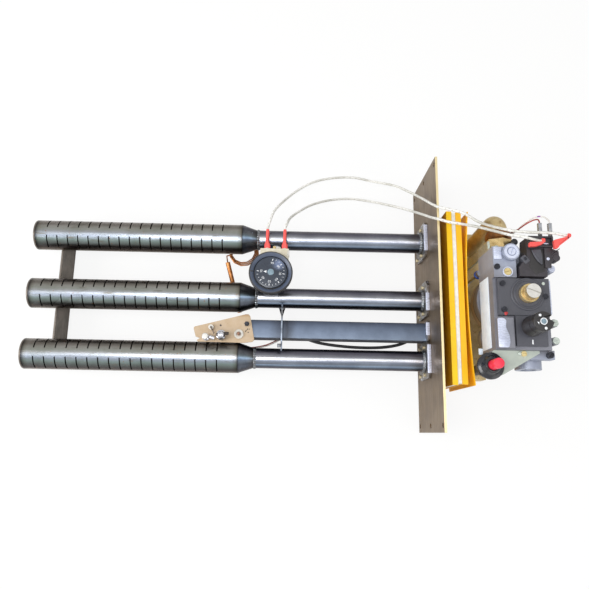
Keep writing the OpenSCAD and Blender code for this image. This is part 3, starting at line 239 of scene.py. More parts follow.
def make_finishes():
    """Every finish of the burner, by the name that its pieces use."""
    return {
        # Drawn stainless tube, heat stained beside the slots. Round the tube its colour is painted light:
        # painted shade, dark and brown below, a painted highlight on the crest and a warm painted reflection
        # at its lower edges.
        "head": finish("drawn_stainless_steel", WHITE, "#E2E4DE", 30, 1, (0.26, 0.36), grain=(30, 0.8, 0.8),
            relief=0.006, layers=[painted_tube_light([(-100, "#6A5A4C"), (-84, "#54463C"), (-70, "#423A38"),
            (-60, "#464344"), (-50, "#5C605F"), (-42, "#6E7674"), (-33, "#7E8C8A"), (-25, "#88929A"),
            (-18, "#8E96A4"), (-13, "#8C939F"), (-9, "#A2A8B2"), (-5, "#989DA5"), (0, "#929396"),
            (9, "#8E908B"), (21, "#8A8883"), (31, "#726D68"), (44, "#6A6460"), (60, "#6C6562"),
            (80, "#8C837E")], 2.0, (70, 14, 14)), streaks("#6B675F", (26, 5, 5), 0.6, 0.78),
            along(0, -556.6, -547, [(0, "#5A5557"), (0.25, "#8E8A88"), (0.6, "#E4E2DC"), (1, WHITE)]),
            along(0, -270, -262.4, [(0, WHITE), (0.7, "#D8D4CC"), (1, "#8A847E")]),
            specks("#8A6038", 2.4, 0.70, 0.76)]),
        # Steel that welding has blued: dark grey, with painted shade on its flanks and a cold painted
        # highlight on its crest.
        "cone": finish("heat_tinted_steel", WHITE, "#C9CCD0", 12, 1, (0.26, 0.4), grain=(5, 0.6, 0.6),
            relief=0.01, layers=[painted_tube_light([(-100, "#4E484C"), (-75, "#3E3B42"), (-60, "#4A4A50"),
            (-50, "#585C66"), (-42, "#5C616B"), (-33, "#555A62"), (-24, "#5A626C"), (-17, "#667080"),
            (-12, "#8FA4BC"), (-8, "#9AB0C6"), (-3, "#74838F"), (3, "#626A6E"), (12, "#5C5E62"),
            (25, "#4E4F54"), (40, "#44424A"), (80, "#444046")], 2.0, (20, 10, 10)),
            along(0, -262.5, -241.5, [(0, "#A8A09A"), (0.1, WHITE), (0.6, WHITE), (1, "#D8CCC0")]),
            streaks("#9FB0BC", (1.5, 6, 6), 0.68, 0.78)]),
        # Welded steel tube, mill finish, with its light painted round it: a narrow painted highlight on the
        # crest, painted shade on the flanks and a cold painted reflection of the light floor.
        "mixer": finish("mill_finish_steel_tube", WHITE, "#DADBDE", 40, 1, (0.24, 0.34),
            grain=(40, 0.8, 0.8), relief=0.006, layers=[painted_tube_light([(-100, "#6A666E"), (-72, "#4C4852"),
            (-62, "#4E5058"), (-55, "#5E6876"), (-49, "#8090A6"), (-43, "#90A0B4"), (-36, "#808894"),
            (-29, "#7E8590"), (-22, "#8A92A2"), (-16, "#A6ACBA"), (-11, "#CED0DA"), (-6, "#DCDEE6"),
            (-1, "#BEC0C6"), (5, "#96979C"), (12, "#7C7D84"), (26, "#605E68"), (45, "#52505A"),
            (80, "#5C5A64")], 2.0, (120, 10, 10)), streaks("#5C5A5C", (120, 3, 3), 0.56, 0.8)]),
        # Cold rolled sheet with a thin oil film: brownish grey, brushed along its length, with a pale painted
        # highlight added along its top edge.
        "plate": finish("cold_rolled_steel_plate", "#7C6850", "#66523E", 30, 0.9, (0.3, 0.48),
            grain=(0.8, 30, 0.8), relief=0.01, layers=[streaks("#8E806A", (6, 60, 3), 0.56, 0.82),
            along(2, 70.4, 70.9, [(0, "#000000"), (1, "#CFC49A")], "ADD")]),
        # Dull sheet of the end caps and the foot, tinted by the flame.
        "end": finish("flame_tinted_sheet", "#7A726A", "#5C554F", 18, 0.8, (0.34, 0.5),
            grain=(0.8, 14, 0.8), relief=0.01),
        # Flanges cut from the same sheet, with pale blue specks over them that are painted reflections.
        "flange": finish("steel_flange_painted_glints", "#8F8B88", "#6E6862", 12, 0.9, (0.22, 0.4),
            grain=(0.8, 12, 0.8), relief=0.01, layers=[specks("#D8E0F0", 7, 0.56, 0.7)]),
        # Lumpy arc weld, brown oxide with bright spatter.
        "weld": finish("arc_weld_bead", "#7C7B7C", "#4E565E", 3, 1, (0.3, 0.5), grain=0.8, relief=0.12,
            layers=[specks("#B9C6CE", 1.6, 0.6, 0.7)]),
        # Hot rolled square tube with blue mill scale. Painted shade darkens its sides below the top face and
        # darkens it towards its far side, and it darkens in a band from x -201 to -180 mm.
        "scale": finish("mill_scale_steel", "#7C899C", "#6E7A8C", 22, 0.6, (0.38, 0.55),
            grain=(20, 0.6, 0.6), relief=0.01, layers=[along(1, -59, -34,
            [(0, WHITE), (0.35, "#E4E6EA"), (0.7, "#B9BBC2"), (0.88, "#8E9098"), (1, "#77777E")]),
            along(0, -222, -180, [(0, WHITE), (0.5, "#B4ACA6"), (0.62, "#8A7E76"), (1, WHITE)], "MULTIPLY",
            0.8, 5, 12), along(2, -27.5, -4, [(0, "#5A545C"), (0.9, "#7C7884"), (1, WHITE)])]),
        # Thin strap, bent cold and worn bright at its edges.
        "strap": finish("bright_steel_strap", "#A9B4C4", "#5C626C", 7, 0.7, (0.35, 0.5)),
        # Zinc with a yellow chromate film: olive to straw yellow, softly shiny.
        "chromate": finish("yellow_chromated_steel", "#D2BE92", "#AC9566", 20, 0.8, (0.28, 0.45),
            grain=(0.7, 8, 8), relief=0.01, layers=[specks("#8A6A3C", 6, 0.64, 0.78)]),
        # The same film on the hexagon nut, worn bright.
        "nut": finish("worn_chromated_steel", "#D8BE88", "#A88C58", 9, 0.8, (0.22, 0.4)),
        # Pressed bracket, pale straw film with a few scratches.
        "bracket": finish("chromated_sheet", "#BAA58B", "#B09879", 14, 0.15, (0.4, 0.55),
            layers=[along(1, -32, -26, [(0, WHITE), (0.6, "#E9DCCB"), (1, "#B9967A")]),
            specks("#8F7558", 1.6, 0.72, 0.78)]),
        # Turned and nickel plated: bright, almost a mirror.
        "nickel": finish("nickel_plated_brass", "#B4B6BA", "#85878C", 5, 1, (0.14, 0.28)),
        # Drawn soft aluminium tube.
        "aluminium": finish("drawn_aluminium", "#A9ADB2", "#8A8F96", 9, 1, (0.3, 0.45)),
        # Glazed steatite: white with a soft shine.
        "ceramic": finish("glazed_ceramic", "#DCD9D2", "#C4BFB4", 5, 0, (0.12, 0.22), relief=0.004,
            IOR=1.55),
        # Spark wire, straw and brown from the flame.
        "electrode": finish("heat_resistant_wire", "#8C7F74", "#5B4C43", 3, 1, (0.3, 0.5)),
        # Bronze rod.
        "bronze": finish("bronze_rod", "#8A6450", "#5C4036", 2, 0.8, (0.3, 0.45)),
        # Silicone lead and boot, black and matt.
        "rubber": finish("black_silicone_rubber", "#1C1C1F", "#2A2A2E", 8, 0, (0.4, 0.6), IOR=1.43),
        # Powder coat over sheet: fine orange peel, amber yellow. Below 60.6 mm high it is painted a little
        # darker and more orange than above 61.4 mm, as painted shade under the top edge.
        "yellow": finish("yellow_powder_coat", "#FFC800", "#FFD418", 45, 0, (0.35, 0.5), grain=1.2,
            relief=0.03, IOR=1.5, layers=[streaks("#F5A000", (60, 14, 60), 0.62, 0.86),
            along(2, 60.6, 61.4, [(0, "#FFDCA0"), (1, WHITE)])]),
        # Inner sides of the leaves: the same coat in a deeper, more orange tone, a shaded copy that is
        # painted shade.
        "amber": finish("yellow_coat_painted_shade", "#FFBC0C", "#FFC820", 40, 0, (0.35, 0.5), grain=1.2,
            relief=0.03, IOR=1.5),
        # Pressed ceramic fibre: white and matt with soft fibres.
        "board": finish("ceramic_fibre_board", "#F4F2EC", "#E2DED4", 8, 0, (0.8, 0.95), grain=(0.4, 3, 3),
            relief=0.12),
        # Free-cutting brass, turned.
        "brass": finish("turned_brass", "#D2AC5E", "#B58E45", 5, 1, (0.18, 0.32), grain=(4, 4, 0.25),
            relief=0.006),
        # Die cast aluminium, shot blasted: blue grey, fine grain.
        "casting": finish("shot_blasted_aluminium", "#A2A8B8", "#949AAA", 16, 0.45, (0.42, 0.55),
            grain=0.35, relief=0.03, layers=[along(1, -92, 20, [(0, WHITE), (0.07, "#D2CCC6"),
            (0.8, "#CCC6C0"), (0.93, "#E6E2DE"), (1, WHITE)], "MULTIPLY", 1.0, 2, 30),
            specks("#74767E", 4, 0.70, 0.82)]),
        # Pale machined and polished part of the casting.
        "polished": finish("polished_aluminium", "#D2D8EA", "#B6BCD0", 14, 0.35, (0.22, 0.36),
            grain=(9, 0.8, 0.8), relief=0.008),
        # Lacquered pressed steel lid.
        "lacquer": finish("brown_lacquered_steel", "#8C8076", "#776A60", 25, 0.25, (0.35, 0.5), relief=0.01),
        # Moulded rubber of the diaphragm and the valve discs, black brown and matt.
        "diaphragm": finish("nitrile_rubber", "#2A2724", "#383430", 12, 0, (0.5, 0.7)),
        # Music wire.
        "spring": finish("spring_steel_wire", "#C3C5C8", "#9DA0A4", 4, 1, (0.2, 0.35)),
        # Moulded glass-filled nylon, slate grey and slightly shiny.
        "slate": finish("slate_grey_nylon", "#4C4D55", "#45464D", 20, 0, (0.38, 0.52), grain=0.3,
            relief=0.02, IOR=1.53, layers=[specks("#5A5B62", 3, 0.66, 0.8)]),
        # Moulded ABS: near black with a fine texture and a dull shine.
        "black": finish("black_abs", "#1F1D1E", "#292627", 10, 0, (0.34, 0.48), grain=0.3, relief=0.015,
            IOR=1.53),
        # Terminal block: the same plastic, dusty and a little paler.
        "dusty": finish("dusty_black_abs", "#2C282D", "#38353A", 9, 0, (0.4, 0.55), grain=0.3, relief=0.015,
            IOR=1.53),
        # The same plastic from a polished mould, with sharp reflections.
        "gloss_black": finish("gloss_black_abs", "#17181D", "#20222A", 12, 0, (0.16, 0.26), relief=0.003,
            IOR=1.53),
        # Boots of soft silicone, coral red.
        "boot": finish("coral_silicone", "#F4625C", "#EA524E", 7, 0, (0.4, 0.55), relief=0.01, IOR=1.43),
        # Polished red push button.
        "red": finish("red_abs", "#F0304A", "#E42440", 9, 0, (0.22, 0.32), relief=0.003, IOR=1.53),
        # Stoved paint over sheet, pale green grey and smooth.
        "pale_paint": finish("pale_green_grey_paint", "#B9C2B7", "#ABB3AB", 18, 0, (0.35, 0.48), grain=0.5,
            relief=0.015),
        # Zinc plated screw with a green grey passivated head.
        "zinc": finish("zinc_plated_steel", "#C6CFC6", "#A3ABA5", 3, 0.7, (0.25, 0.4)),
        # Zinc plating gone cream, worn at the edges.
        "cream_screw": finish("worn_zinc_plating", "#D9CBA6", "#A89C83", 2, 0.6, (0.3, 0.45)),
        # Blackened steel screw, satin.
        "black_screw": finish("black_oxide_steel", "#3A3B42", "#26272B", 3, 0.7, (0.3, 0.45)),
        # Moulded urea resin of a terminal block: cream, slightly cloudy.
        "cream": finish("cream_urea_moulding", "#DDD6C2", "#C9C0A8", 9, 0, (0.35, 0.5), IOR=1.55),
        # Moulded ABS dial: dark blue grey, smooth, with one soft pale painted reflection on its crown.
        "dial": finish("charcoal_abs", "#29303C", "#333B48", 12, 0, (0.2, 0.3), relief=0.004, IOR=1.53,
            layers=[painted_reflection_patch((-208.5, 36.5, 35), 11, "#9FB0D8", 0.8)]),
        # Sloping rim of the bezel, a paler blue grey.
        "rim": finish("blue_grey_abs", "#4B5569", "#414A5C", 10, 0, (0.3, 0.42), relief=0.004, IOR=1.53),
        # Small pale caps in the middle of dial and knob.
        "hub": finish("pale_blue_grey_abs", "#8299A6", "#5C6C78", 2.0, 0, (0.3, 0.42), relief=0.004,
            IOR=1.53),
        # Chromium plated pilot parts: almost a mirror, tinted by the flame.
        "chrome": finish("bright_chrome", "#D8DAE0", "#8E8A92", 2.5, 1, (0.06, 0.16)),
        # Steel blackened by the pilot flame, matt.
        "soot": finish("sooty_steel", "#38322F", "#4C4440", 3, 0.6, (0.35, 0.5)),
        # Nickel with a frosted face, pale and soft.
        "cap": finish("frosted_nickel", "#D2D0CA", "#C2C0BA", 5, 0.35, (0.35, 0.5), relief=0.006),
        # Brass edge polished pale.
        "cream_brass": finish("polished_brass_edge", "#DCCA94", "#C4AE74", 3, 0.5, (0.25, 0.35)),
        # Golden chromate film on the regulator's brass.
        "golden": finish("golden_chromated_brass", "#D8C296", "#B49C6C", 6, 0.6, (0.28, 0.42)),
        # Dark brown brass, on the pipe's collar.
        "brown": finish("dark_brown_brass", "#8A5A2C", "#5E3A1C", 8, 0.7, (0.3, 0.45)),
        # Moulded nylon ring, plain blue.
        "blue": finish("blue_nylon", "#1F4FA8", "#173B82", 5, 0, (0.3, 0.45), IOR=1.53),
        # Soft enamel dot that seals the adjusted cover.
        "seal": finish("red_enamel", "#C8383A", "#8E2A2C", 2, 0, (0.35, 0.5), IOR=1.5),
        # Pad printed marks: white, matt and thin.
        "ink": finish("white_pad_print", "#EDEFF2", "#D5D9DE", 2, 0, (0.45, 0.6), relief=0.002),
        # Drawn copper, dulled by heat.
        "copper": finish("drawn_copper", "#C98A55", "#9C6238", 6, 0.9, (0.28, 0.42),
            layers=[specks("#6A4028", 4, 0.62, 0.78)]),
        # Plastic film labels, left bare.
        "paper": finish("white_plastic_film", "#E4EEF8", "#D4DEEA", 12, 0, (0.3, 0.4), relief=0.004,
            IOR=1.5),
        # Extruded insulation, red brown and satin.
        "brown_wire": finish("red_brown_insulation", "#A8423A", "#7C332D", 9, 0, (0.35, 0.5), IOR=1.5),
        # The same insulation in white, with one violet mark.
        "white_wire": finish("white_insulation", "#E4E0DA", "#CFC9C2", 9, 0, (0.35, 0.5), IOR=1.5,
            layers=[along(0, 109, 114, [(0, WHITE), (0.3, "#9A4FB4"), (0.7, "#9A4FB4"), (1, WHITE)])]),
        # Fibreglass braid, about 24 strands of 0.4 mm drawn coarser so that they show.
        "braid": woven("glass_fibre_braid", "#EEEDE8", "#B9B7AE", 6, 2.4),
    }


# Surfaces

def grid_faces(rows, columns):
    """Quads between neighbouring rows of a grid whose columns close on themselves."""
    i, j = np.meshgrid(np.arange(rows - 1), np.arange(columns), indexing="ij")
    a, b = i * columns + j, i * columns + (j + 1) % columns
    return np.stack([a, b, b + columns, a + columns], -1).reshape(-1, 4).tolist()


def closed(rows):
    """Vertices and faces of a tube of rings, with a flat face on its first and last ring."""
    rows = np.asarray(rows, float)
    count, columns = rows.shape[:2]
    faces = grid_faces(count, columns)
    faces += [list(range(columns))[::-1], list(range((count - 1) * columns, count * columns))]
    return rows.reshape(-1, 3), faces


def placed(points, origin, ahead=(0, 0, 1), side=(1, 0, 0)):
    """Points of a piece that stands along its own Z, turned so that Z runs ahead and X to the side."""
    ahead = np.array(ahead, float) / np.linalg.norm(ahead)
    side = np.array(side, float) - np.dot(side, ahead) * ahead
    side /= np.linalg.norm(side)
    turned = np.stack([side, np.cross(ahead, side), ahead])
    return np.asarray(points) @ turned + np.array(origin, float)


def rings(profile, count, wave=None):
    """One ring for each radius r and height h: (r cos a, r sin a, h). wave(a, h) scales the radius."""
    profile = np.array(profile, float)
    angle = np.linspace(0, 2 * pi, count, endpoint=False)[None, :]
    r, h = profile[:, :1], profile[:, 1:2]
    r = r * (wave(angle, h) if wave else 1)
    return np.stack([r * np.cos(angle), r * np.sin(angle), h + 0 * angle], -1)


def lathe(profile, origin, ahead=(0, 0, 1), count=64, wave=None, side=(1, 0, 0)):
    """Solid turned from a profile of radius and height: its rings, with both ends closed."""
    verts, faces = closed(rings(profile, count, wave))
    return placed(verts, origin, ahead, side), faces


def rounded(corners, radius):
    """Outline whose corners are arcs: each is the quadratic blend of the two points a radius away."""
    corners = np.array(corners, float)
    before, after = np.roll(corners, 1, 0) - corners, np.roll(corners, -1, 0) - corners
    reach = np.minimum(np.linalg.norm(before, axis=1), np.linalg.norm(after, axis=1)) / 2.01
    cut = np.minimum(np.broadcast_to(radius, len(corners)), reach)[:, None]
    start = corners + cut * before / np.linalg.norm(before, axis=1)[:, None]
    end = corners + cut * after / np.linalg.norm(after, axis=1)[:, None]
    t = np.linspace(0, 1, 5)[None, :, None]
    arcs = (1 - t) ** 2 * start[:, None] + 2 * t * (1 - t) * corners[:, None] + t ** 2 * end[:, None]
    return arcs.reshape(-1, 2)


def slab(outline, low, high, edge=0.5):
    """Outline carried from low to high; near both ends it shrinks by edge * (1 - cos a)."""
    outline = np.array(outline, float)
    if np.sum(outline[:, 0] * np.roll(outline[:, 1], -1) - outline[:, 1] * np.roll(outline[:, 0], -1)) < 0:
        outline = outline[::-1]
    run = np.roll(outline, -1, 0) - np.roll(outline, 1, 0)
    normal = np.stack([run[:, 1], -run[:, 0]], -1) / np.maximum(np.linalg.norm(run, axis=1), 1e-9)[:, None]
    a = np.linspace(pi / 2, 0, 4)
    inset = edge * (1 - np.cos(a))
    rise = edge * (1 - np.sin(a))
    inset, z = np.r_[inset, inset[::-1]], np.r_[low + rise, high - rise[::-1]]
    flat = outline[None] - inset[:, None, None] * normal[None]
    rows = np.concatenate([flat, np.broadcast_to(z[:, None, None], (*flat.shape[:2], 1))], -1)
    return closed(rows)


def disc(x, y, radius, low, high, edge=0.4, count=48):
    """Upright disc; its edge is the quarter circle radius - edge (1 - sin a), low + edge (1 - cos a)."""
    a = np.linspace(0, pi / 2, 5)
    reach, rise = radius - edge * (1 - np.sin(a)), edge * (1 - np.cos(a))
    profile = np.r_[np.stack([reach, low + rise], -1), np.stack([reach, high - rise], -1)[::-1]]
    return lathe(profile, (x, y, 0), count=count)


def hoop(profile, origin, ahead=(0, 0, 1), count=96):
    """Closed outline of radius and height, turned all the way round. Its last ring joins the first."""
    rows = rings(profile, count)
    rows = np.concatenate([rows, rows[:1]])
    return placed(rows.reshape(-1, 3), origin, ahead), grid_faces(len(rows), count)


def circle(x, y, radius, start=0.0, end=360.0):
    """Points at equal angles on an arc, in degrees."""
    a = np.radians(np.linspace(start, end, 48, endpoint=abs(end - start) < 360))
    return np.stack([x + radius * np.cos(a), y + radius * np.sin(a)], -1)


def figure(mark, place, height, turn, radius):
    """Strokes of one figure, drawn in a cell 0.6 wide and 1 high, turned about its middle."""
    cos, sin = np.cos(turn), np.sin(turn)
    parts = []
    for stroke in FIGURES[mark]:
        flat = (np.array(stroke, float) - (0.3, 0.5)) * height
        turned = np.stack([cos * flat[:, 0] - sin * flat[:, 1], sin * flat[:, 0] + cos * flat[:, 1]], -1)
        path = np.c_[turned + np.array(place[:2]), np.full(len(turned), place[2])]
        parts.append(swept(path, radius, 8))
    return parts


RING = circle(0.3, 0.5, 0.5) * (0.56, 1.0) + (0.13, 0.0)
FIGURES = {
    "0": [np.vstack([RING, RING[:2]])],
    "3": [[(0.04, 0.88), (0.3, 1), (0.54, 0.84), (0.5, 0.62), (0.26, 0.53), (0.52, 0.44), (0.58, 0.2),
           (0.34, 0), (0.03, 0.1)]],
    "4": [[(0.44, 0), (0.44, 1)], [(0.44, 1), (0.02, 0.32), (0.6, 0.32)]],
    "5": [[(0.54, 1), (0.1, 1), (0.06, 0.56), (0.34, 0.62), (0.57, 0.4), (0.5, 0.1), (0.26, 0), (0.03, 0.1)]],
    "6": [[(0.5, 0.95), (0.26, 0.9), (0.06, 0.6), (0.04, 0.25), (0.28, 0), (0.54, 0.16), (0.52, 0.46),
           (0.28, 0.57), (0.06, 0.4)]],
    "7": [[(0.03, 1), (0.6, 1), (0.22, 0)]],
    "8": [np.vstack([RING, RING[:2]]) * (0.9, 0.48) + (0.03, 0.52), np.vstack([RING, RING[:2]]) * (1, 0.52)],
    "9": [[(0.1, 0.05), (0.34, 0.1), (0.54, 0.4), (0.56, 0.75), (0.32, 1), (0.06, 0.84), (0.08, 0.54),
           (0.32, 0.43), (0.54, 0.6)]],
}


def box_of(x, y, z, radius, edge=0.4):
    """Upright block with rounded corners in plan and a small round on its top and bottom edges."""
    return slab(rounded([(x[0], y[0]), (x[1], y[0]), (x[1], y[1]), (x[0], y[1])], radius), *z, edge)


def route(points, steps):
    """Catmull-Rom curve: cubic through the points with tangents of half the neighbours' distance."""
    p = np.array(points, float)
    q = np.vstack([p[:1], p, p[-1:]])
    t = np.linspace(0, 1, steps, endpoint=False)[None, :, None]
    a, b, c, d = (q[k:len(q) - 3 + k][:, None] for k in range(4))
    curve = 0.5 * (2 * b + (c - a) * t + (2 * a - 5 * b + 4 * c - d) * t ** 2
                   + (3 * b - a - 3 * c + d) * t ** 3)
    return np.vstack([curve.reshape(-1, 3), p[-1:]])


def swept(path, radius, count=12):
    """Circle of the radius carried along the path, on axes that turn as little as they can."""
    path = np.array(path, float)
    ahead = np.gradient(path, axis=0)
    ahead /= np.linalg.norm(ahead, axis=1)[:, None]
    side = np.zeros_like(path)
    start = np.cross(ahead[0], (0.0, 0.0, 1.0) if abs(ahead[0][2]) < 0.8 else (1.0, 0.0, 0.0))
    for k, way in enumerate(ahead):
        start = start - np.dot(start, way) * way
        start /= np.linalg.norm(start)
        side[k] = start
    up = np.cross(ahead, side)
    angle = np.linspace(0, 2 * pi, count, endpoint=False)[None, :, None]
    radius = np.broadcast_to(radius, len(path))[:, None, None]
    return closed(path[:, None] + radius * (np.cos(angle) * side[:, None] + np.sin(angle) * up[:, None]))


def piece(name, parts, keys, node, replaces=True, sharp=32):
    """One mesh object from closed surfaces in millimetres, on the body of a CAD node."""
    verts, faces, start = [], [], 0
    for part_verts, part_faces in parts:
        verts.append(part_verts)
        faces += [[k + start for k in face] for face in part_faces]
        start += len(part_verts)
    mesh = bpy.data.meshes.new(name)
    mesh.from_pydata((np.vstack(verts) * MM).tolist(), [], faces)
    bm = bmesh.new()
    bm.from_mesh(mesh)
    bmesh.ops.remove_doubles(bm, verts=bm.verts, dist=1e-7)
    bmesh.ops.recalc_face_normals(bm, faces=bm.faces)
    bm.to_mesh(mesh)
    bm.free()
    return mount(name, mesh, keys, node, replaces, sharp)


def detail(name, parts, key, node, sharp=32):
    """Piece that is added on a CAD node and leaves that node's own piece in place."""
    return piece(name, parts, key, node, False, sharp)


def mount(name, mesh, keys, node, replaces, sharp):
    """Put a mesh in the scene with its finishes, on the body of its CAD node, and hide that node when it
    replaces it.
    """
    mesh.shade_smooth()
    mesh.set_sharp_from_angle(angle=radians(sharp))
    for key in [keys] if isinstance(keys, str) else keys:
        mesh.materials.append(FINISH[key])
    item = bpy.data.objects.new(name, mesh)
    bpy.context.scene.collection.objects.link(item)
    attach(item, BODY_OF[node])
    if replaces:
        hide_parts(node)
    return item


def dressed(node, keys, edge, choose=None):
    """Merged copy of a CAD node with edges rounded by so many millimetres.

    choose takes the faces' centres in millimetres and gives each face the number of its finish.
    """
    mesh = bpy.data.meshes.new(node + "_dressed")
    bm = bmesh.new()
    bm.from_mesh(frame["nodes"][node].data)
    bmesh.ops.remove_doubles(bm, verts=bm.verts, dist=2e-6)
    bmesh.ops.dissolve_limit(bm, angle_limit=radians(0.5), verts=bm.verts, edges=bm.edges)
    bm.to_mesh(mesh)
    bm.free()
    if "custom_normal" in mesh.attributes:
        mesh.attributes.remove(mesh.attributes["custom_normal"])
    mesh.materials.clear()
    if choose:
        centres = np.zeros(len(mesh.polygons) * 3)
        mesh.polygons.foreach_get("center", centres)
        index = np.asarray(choose(centres.reshape(-1, 3) / MM), np.int32)
        mesh.polygons.foreach_set("material_index", index)
    item = mount(node + "_dressed", mesh, keys, node, True, 32)
    if edge:
        bevel = item.modifiers.new("edges", "BEVEL")
        bevel.width = edge * MM
        bevel.segments = 2
        bevel.limit_method = "ANGLE"
        bevel.angle_limit = radians(35)
        bevel.harden_normals = True
    return item


def dress_all(*rows):
    """Dress each node: its name, its finish and the size of its edges."""
    for row in rows:
        dressed(*row)


def crown(r, top):
    """Height of the dial's face at a radius, which falls with its square: top - 1.1 (r / 21) ** 2."""
    return top - 1.1 * (r / 21) ** 2


# Settings

class LeadSettings(bpy.types.PropertyGroup):
    """Leads between the thermostat and the valve."""
    diameter: bpy.props.FloatProperty(
        name="Diameter", description="Outer diameter of the leads", default=3.6 * MM, unit="LENGTH")
    steps: bpy.props.IntProperty(
        name="Smoothness", description="Rings between two points of a route", default=8, min=2)


class KnobSettings(bpy.types.PropertyGroup):
    """Gas knob."""
    dot: bpy.props.FloatProperty(
        name="Dot", description="Radius of the white dots", default=1.6 * MM, unit="LENGTH")


class DialSettings(bpy.types.PropertyGroup):
    """Thermostat dial."""
    first: bpy.props.IntProperty(
        name="First number", description="Lowest number on the dial", default=30)
    step: bpy.props.IntProperty(
        name="Step", description="Difference between two numbers", default=10)
    height: bpy.props.FloatProperty(
        name="Figure height", description="Height of the figures", default=2.7 * MM, unit="LENGTH")


class StageSettings(bpy.types.PropertyGroup):
    """Floor, lamps and camera."""
    floor: bpy.props.FloatVectorProperty(
        name="Floor", description="Colour of the floor", subtype="COLOR", size=4,
        default=linear("#F4F4F2"))
    lamp: bpy.props.FloatProperty(
        name="Lamp", description="Power of the soft lamp", default=9.0, unit="POWER")
    lens: bpy.props.FloatProperty(
        name="Lens", description="Focal length in millimetres on a 36 mm sensor", default=37.07)


class BurnerSettings(bpy.types.PropertyGroup):
    """All settings of the burner."""
    leads: bpy.props.PointerProperty(type=LeadSettings)
    knob: bpy.props.PointerProperty(type=KnobSettings)
    dial: bpy.props.PointerProperty(type=DialSettings)
    stage: bpy.props.PointerProperty(type=StageSettings)


FINISH = {}


class BurnerStep(bpy.types.Operator):
    """One step of the burner."""
    bl_options = {"REGISTER", "UNDO"}

    def execute(self, context):
        if not FINISH:
            FINISH.update(make_finishes())
        self.build(context.scene.gas_burner)
        return {"FINISHED"}


class BuildStage(BurnerStep):
    """Floor, soft light and the camera at the photograph's viewing angle."""
    bl_idname = "gas_burner.stage"
    bl_label = "Stage"

    def build(self, settings):
        scene = bpy.context.scene
        scene.view_settings.view_transform = "Standard"
        world = bpy.data.worlds.new("soft_studio")
        scene.world = world
        world.use_nodes = True
        tree = world.node_tree
        tree.nodes.clear()
        rays = add(tree, "ShaderNodeLightPath")
        seen = rays.outputs["Is Camera Ray"]
        for ray in ("Is Glossy Ray", "Is Transmission Ray"):
            either = add(tree, "ShaderNodeMath", {0: seen, 1: rays.outputs[ray]}, operation="MAXIMUM")
            seen = either.outputs[0]
        power = add(tree, "ShaderNodeMapRange", {"Value": seen, "To Min": SKY, "To Max": 1.0})
        sky = add(tree, "ShaderNodeBackground",
                  {"Color": (1.0, 1.0, 1.0, 1.0), "Strength": power.outputs[0]})
        add(tree, "ShaderNodeOutputWorld", {"Surface": sky.outputs[0]})

        floor = bpy.data.meshes.new("floor")
        half, z = 4.0, FLOOR_Z * MM
        floor.from_pydata([(-half, -half, z), (half, -half, z), (half, half, z), (-half, half, z)], [],
                          [(0, 1, 2, 3)])
        item = bpy.data.objects.new("floor", floor)
        scene.collection.objects.link(item)
        mat = bpy.data.materials.new("matt_white_floor")
        mat.use_nodes = True
        tree = mat.node_tree
        tree.nodes.clear()
        rays = add(tree, "ShaderNodeLightPath")
        matt = add(tree, "ShaderNodeBsdfDiffuse", {"Color": tuple(settings.stage.floor)})
        glow = add(tree, "ShaderNodeEmission", {"Color": (1.0, 1.0, 1.0, 1.0), "Strength": 1.0})
        share = add(tree, "ShaderNodeMath", {0: rays.outputs["Is Camera Ray"], 1: GLOW}, operation="MULTIPLY")
        both = add(tree, "ShaderNodeMixShader", {0: share.outputs[0], 1: matt.outputs[0], 2: glow.outputs[0]})
        add(tree, "ShaderNodeOutputMaterial", {"Surface": both.outputs[0]})
        floor.materials.append(mat)

        # Where each lamp stands and aims, its width and length, all in metres, and its share of the power.
        for name, spot, aim, size, share in (
            ("lamp_above", (-0.2, -0.08, 1.7), (-0.2, -0.08, 0), (1.7, 0.26), 0.34),
            ("lamp_side", (0.9, -0.9, 0.9), (-0.05, 0, 0), (0.8, 0.8), 0.3),
            ("lamp_front", (-0.5, -0.3, 1.4), (0, 0, 0.02), (0.6, 0.4), 0.7),
            ("lamp_left", (-1.5, -0.3, 0.9), (0, 0, 0.02), (0.8, 0.8), 1.5),
        ):
            data = bpy.data.lights.new(name, "AREA")
            data.shape, data.energy = "RECTANGLE", settings.stage.lamp * share
            data.size, data.size_y = size
            lamp = bpy.data.objects.new(name, data)
            scene.collection.objects.link(lamp)
            lamp.location = spot
            lamp.rotation_euler = (Vector(aim) - Vector(spot)).to_track_quat("-Z", "Y").to_euler()

        data = bpy.data.cameras.new("camera")
        data.sensor_width, data.lens = 36.0, settings.stage.lens
        data.clip_start, data.clip_end = 0.01, 20.0
        camera = bpy.data.objects.new("camera", data)
        scene.collection.objects.link(camera)
        # Its right, up and back, as the photograph's vanishing points give them.
        turn = Matrix(((0.99966, 0.01856, 0.01848), (-0.02221, 0.97466, 0.22260),
                       (-0.01388, -0.22293, 0.97473))).transposed().to_4x4()
        turn.translation = (-0.198, -0.187, 0.829)
        camera.matrix_world = turn
        scene.camera = camera


